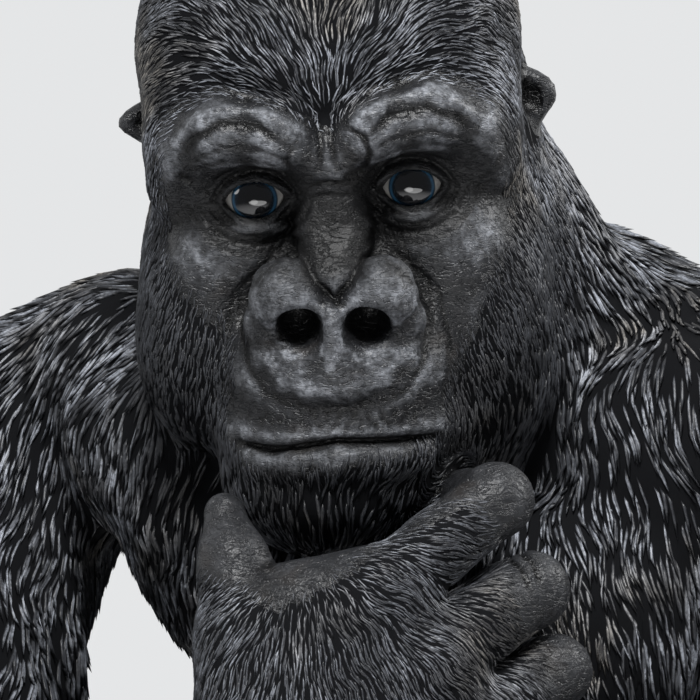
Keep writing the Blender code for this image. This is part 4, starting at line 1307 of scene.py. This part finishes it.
def open_lids(clay):
    """Seats each eye, opens its lids with a bevelled rim and folds the skin above and below it."""
    for side in (-1, 1):
        eye = (side * EYE_SPACING / 2, EYE_DEPTH, 0)
        part, grid = clay.window([HEAD.world(eye)], 46)
        x, y, z = HEAD.local(grid)
        x = x - eye[0]
        gap = lid_gap(x, z)
        front = np.clip((EYE_DEPTH + 6 - y) / 8, 0, 1)
        broken = 0.75 + 0.25 * np.sin(x / 2.9 + side) * np.sin(z / 3.7 + 2)
        upper = np.clip(z / 5 + 0.4, 0, 1) * front
        lower = np.clip(-z / 5 + 0.2, 0, 1) * front * broken
        for folds, share in ((UPPER_FOLDS, upper), (LOWER_FOLDS, lower), (RIM_FOLDS, front)):
            for offset, depth, width in folds:
                fold = depth * np.exp(-(((gap - offset) / width) ** 2)) * share
                clay.distance[part] += fold.astype(np.float32)
        ball(clay, HEAD, eye, (EYE_RADIUS + EYE_GAP,) * 3, 0.6, cut=True)
        above = np.sqrt(x**2 + (y - EYE_DEPTH) ** 2 + z**2) - EYE_RADIUS
        flare = 0.75 * np.clip(above - 0.6, 0, 4)
        clay.remove(part, np.maximum(gap - flare, y - EYE_DEPTH), 0.7)


def face_creases(clay):
    """Furrows of the brow, wrinkles beside the nose and above it, and the lips."""
    for side in (-1, 1):
        crest = [(side * x, z) for x, z in ((14, 34), (28, 43), (46, 45), (60, 39), (70, 27))]
        crease(clay, HEAD, crest, 2.6, -1.4, taper=14)
        trough = [(side * x, z) for x, z in ((17, 27), (29, 36), (46, 38), (58, 32), (65, 22))]
        crease(clay, HEAD, trough, 2.2, 1.5, taper=14)
        for row in range(2):
            arch = [(side * (13 + 3 * row), 18 - 6 * row), (side * 28, 26 - 6 * row)]
            arch += [(side * 46, 28 - 6 * row), (side * 61, 22 - 5 * row), (side * (70 - row), 8 - 4 * row)]
            crease(clay, HEAD, arch, 1.6, 0.5 - 0.15 * row, taper=16)
        for row in range(3):
            fold = [(side * (17 + 5 * row), -8 - 3 * row), (side * (24 + 5 * row), -24 - 3 * row)]
            fold += [(side * (36 + 5 * row), -36 - 4 * row), (side * (41 + 4 * row), -52 - 3 * row)]
            crease(clay, JAW, fold, 1.4, 0.8 - 0.15 * row, taper=10)
        ring = [(side * 41, -46), (side * 43, -58), (side * 39, -72), (side * 30, -84), (side * 18, -89)]
        crease(clay, JAW, ring, 1.8, 0.6, taper=12)
        cheek = [(side * 47, -52), (side * 51, -66), (side * 50, -82), (side * 47, -94)]
        crease(clay, JAW, cheek, 1.6, 0.6, taper=10)
    part, grid = clay.window([HEAD.world((0, -8, -15))], 34)
    x, _, z = HEAD.local(grid)
    bridge = 4.5 * np.exp(-((x / 10) ** 2) - ((z + 15) / 13) ** 2)
    clay.distance[part] += bridge.astype(np.float32)
    crease(clay, JAW, mouth_line(), 1.25, 1.8, taper=7)
    for x in range(-34, 38, 3):
        top = 10 - MOUTH_DROP + 2 * math.sin(x)
        crease(clay, JAW, [(x, top), (x + math.sin(2.3 * x), top - 5)], 1.0, 0.5, taper=2)
    low = -NOSE_DROP
    notch = [(-12, low + 26), (-7, low + 19), (1, low + 12), (8, low + 19), (13, low + 26)]
    crease(clay, JAW, notch, 1.6, 1.5, taper=9)
    comma = [(10, 33), (17, 28), (19, 20), (15, 12), (8, 9)]
    crease(clay, HEAD, comma, 1.6, 1.3, taper=7)
    crease(clay, HEAD, [(-14, 28), (-18, 20), (-16, 13)], 1.5, 0.7, taper=6)
    for x in (-4, 3.5):
        crease(clay, HEAD, [(x, 38), (x * 0.6, 26), (x, 15)], 1.4, 1.1, taper=8)
    for z in (7, 1):
        crease(clay, HEAD, [(-12, z - 1), (-3, z + 1.5), (5, z), (12, z + 1)], 1.3, 0.8, taper=8)
    for x, z in [(-7, -12), (0, -16), (6, -11), (-3, -22), (5, -23)]:
        crease(clay, JAW, [(x - 4, z + 1), (x, z - 0.6), (x + 4, z + 1.2)], 1.1, 0.6, taper=4)
    crease(clay, HEAD, [(-66, 13), (-63, 11)], 2.4, 1.2)


def finger_creases(clay):
    """Folds of skin across the bare joints of the index and the middle finger and the thumb."""
    folds = [[(54, -112), (60, -116), (64, -123), (65, -130)], [(62, -110), (68, -115), (72, -123)]]
    folds += [[(58, -111), (64, -116), (68, -124), (69, -131)], [(76, -158), (82, -162), (86, -170)]]
    folds += [[(80, -155), (87, -160), (91, -169)], [(-52, -128), (-46, -125), (-38, -128)]]
    folds += [[(-53, -136), (-46, -133), (-36, -136)], [(-52, -132), (-47, -130), (-41, -131)]]
    for fold in folds:
        crease(clay, VIEW, fold, 1.5, 1.5, back=FAR, taper=4)


# Studio


def camera():
    """The camera of the photo, ahead of the eyes and a little above them."""
    lens = bpy.data.cameras.new("camera")
    lens.sensor_width = SENSOR_WIDTH
    lens.lens = SENSOR_WIDTH * CAMERA_DISTANCE / CAMERA_FIELD
    lens.clip_end = 50
    thing = placed("camera", lens)
    turn, lift = math.radians(LOOK_TURN), math.radians(CAMERA_ELEVATION)
    out = Vector((math.sin(turn) * math.cos(lift), -math.cos(turn) * math.cos(lift), math.sin(lift)))
    thing.location = (Vector(VIEW.world(AIM)) + out * CAMERA_DISTANCE) * MM
    thing.rotation_euler = (-out).to_track_quat("-Z", "Y").to_euler()
    bpy.context.scene.camera = thing


def area_light(name, place, aim, size, power, height=None):
    """A round soft light, or a flattened one where a height is given."""
    light = bpy.data.lights.new(name, "AREA")
    light.shape = "ELLIPSE" if height else "DISK"
    light.size = size
    light.size_y = height or size
    light.energy = power
    thing = placed(name, light)
    thing.location = place
    thing.rotation_euler = (Vector(aim) - Vector(place)).to_track_quat("-Z", "Y").to_euler()


def backdrop():
    """A pale wall ahead of the camera, in a dim room."""
    world = bpy.data.worlds.new("backdrop")
    look = Look(world)
    ahead = look.vector("DOT_PRODUCT", look.place("Generated"), "Value", tuple(VIEW.axes[:, 1]))
    behind = look.ranged(ahead, -0.2, 0.75)
    look.join(look.mixed(behind, ROOM, BACKDROP), look.nodes["Background"].inputs["Color"])
    bpy.context.scene.world = world


def pale_floor():
    """A round floor that fades away towards its rim."""
    shape = bmesh.new()
    bmesh.ops.create_circle(shape, cap_ends=True, radius=FLOOR_RADIUS, segments=96)
    mesh = bpy.data.meshes.new("floor")
    shape.to_mesh(mesh)
    shape.free()
    look = Look(bpy.data.materials.new("floor"))
    material = look.surface({"Base Color": FLOOR, "Roughness": 0.7})
    fade = look.ranged(look.vector("LENGTH", look.place(), "Value"), *FLOOR_FADE)
    solid = look.nodes["Principled BSDF"].outputs["BSDF"]
    blend = look.add("MixShader", {"Fac": fade, 1: solid, 2: look.add("BsdfTransparent", {})})
    look.join(blend, look.nodes["Material Output"].inputs["Surface"])
    mesh.materials.append(material)
    floor = placed("floor", mesh)
    floor.location = (0, 0, -0.0005)


def studio():
    """The floor and the backdrop, a key light with a fill and a rim, and two that show in the eyes."""
    bpy.context.scene.view_settings.view_transform = "Standard"
    backdrop()
    pale_floor()
    for light in LIGHTS:
        area_light(*light)
    eyes = Vector(VIEW.world((0, 0, 0))) * MM
    for name, place, width, height, power in CATCH_LIGHTS:
        area_light(name, Vector(VIEW.world(place)) * MM, eyes, width, power, height)


# Building


def inside_box(points, box, margin=18):
    low, high = np.array(box)
    return ((points > low + margin) & (points < high - margin)).all(1)


def fine_block(box, margin, step):
    """The figure in one box and a margin around it, on a fine grid."""
    return figure(*np.add(box, ((-margin,), (margin,))), step)


def coat(whole, face, hand):
    """Strokes of hair over all that is not bare, on the finest clay there is at each place."""
    spots, normals = roots(whole, ROOT_SPACING, 1)
    sizes = growth(spots) * (0.6 + 0.4 * ramp(hair_gap(spots, normals), 0, 12))
    chance = np.random.default_rng(7)
    kept = chance.uniform(0, 1, len(spots)) < (1 - 0.25 * ramp(sizes, 1, 1.5)) / sizes**2
    middle = spots + hair_flow(spots) * (0.35 * STROKE_LENGTH * sizes)[:, None]
    kept &= (hair_gap(middle, normals) > 0) & (spots[:, 2] > COAT_FLOOR) & (normals[:, 2] > FACING_DOWN)
    spots, sizes = spots[kept], sizes[kept]
    x, y, z = HEAD.local(spots.T)
    on_head = np.linalg.norm(np.stack([x, y - 40, z - 10]), axis=0) < HEAD_REACH
    by_face = inside_box(spots, FACE_BOX)
    by_hand = inside_box(spots, HAND_BOX) & ~by_face
    rest = ~by_face & ~by_hand
    large = sizes >= CHEST_GROWTH + 0.05
    right = spots[:, 0] < BODY_MIDDLE
    groups = (
        ("fur_face", face, by_face),
        ("fur_hand", hand, by_hand),
        ("fur_head", whole, rest & on_head),
        ("fur_front", whole, rest & ~on_head & ~large),
        ("fur_right", whole, rest & ~on_head & large & right),
        ("fur_left", whole, rest & ~on_head & large & ~right),
    )
    look = fur_material()
    for number, (name, clay, chosen) in enumerate(groups):
        strokes(name, clay, spots[chosen], look, sizes[chosen], 30 + number)


def main():
    """The skin block by block, then the coat, the eyes, the camera and the studio."""
    looks = (skin_material(), groove_material())
    small = (LEFT_HAND_BOX, RIGHT_FOOT_BOX, LEFT_FOOT_BOX)
    whole = figure(*WHOLE_BOX, COARSE_STEP)
    body_piece("coat_ground", whole, looks, ratio=0.15, rounds=4, cut_out=(FACE_BOX, HAND_BOX, *small))
    face = fine_block(FACE_BOX, 3, FACE_STEP)
    face_creases(face)
    open_lids(face)
    body_piece("face_skin", face, looks, ratio=0.42, rounds=12, keep_in=FACE_BOX, grain=0.06)
    hand = fine_block(HAND_BOX, 4, HAND_STEP)
    finger_creases(hand)
    body_piece("right_hand_skin", hand, looks, ratio=0.4, rounds=8, keep_in=HAND_BOX, grain=0.08)
    for name, box in zip(("left_hand_skin", "right_foot_skin", "left_foot_skin"), small):
        block = fine_block(box, 4, SMALL_STEP)
        body_piece(name, block, looks, ratio=0.4, rounds=5, keep_in=box, grain=0.1)
    coat(whole, face, hand)
    gloss = eye_material()
    eyeball("eye_right", -1, gloss)
    eyeball("eye_left", 1, gloss)
    camera()
    studio()


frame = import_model()
main()
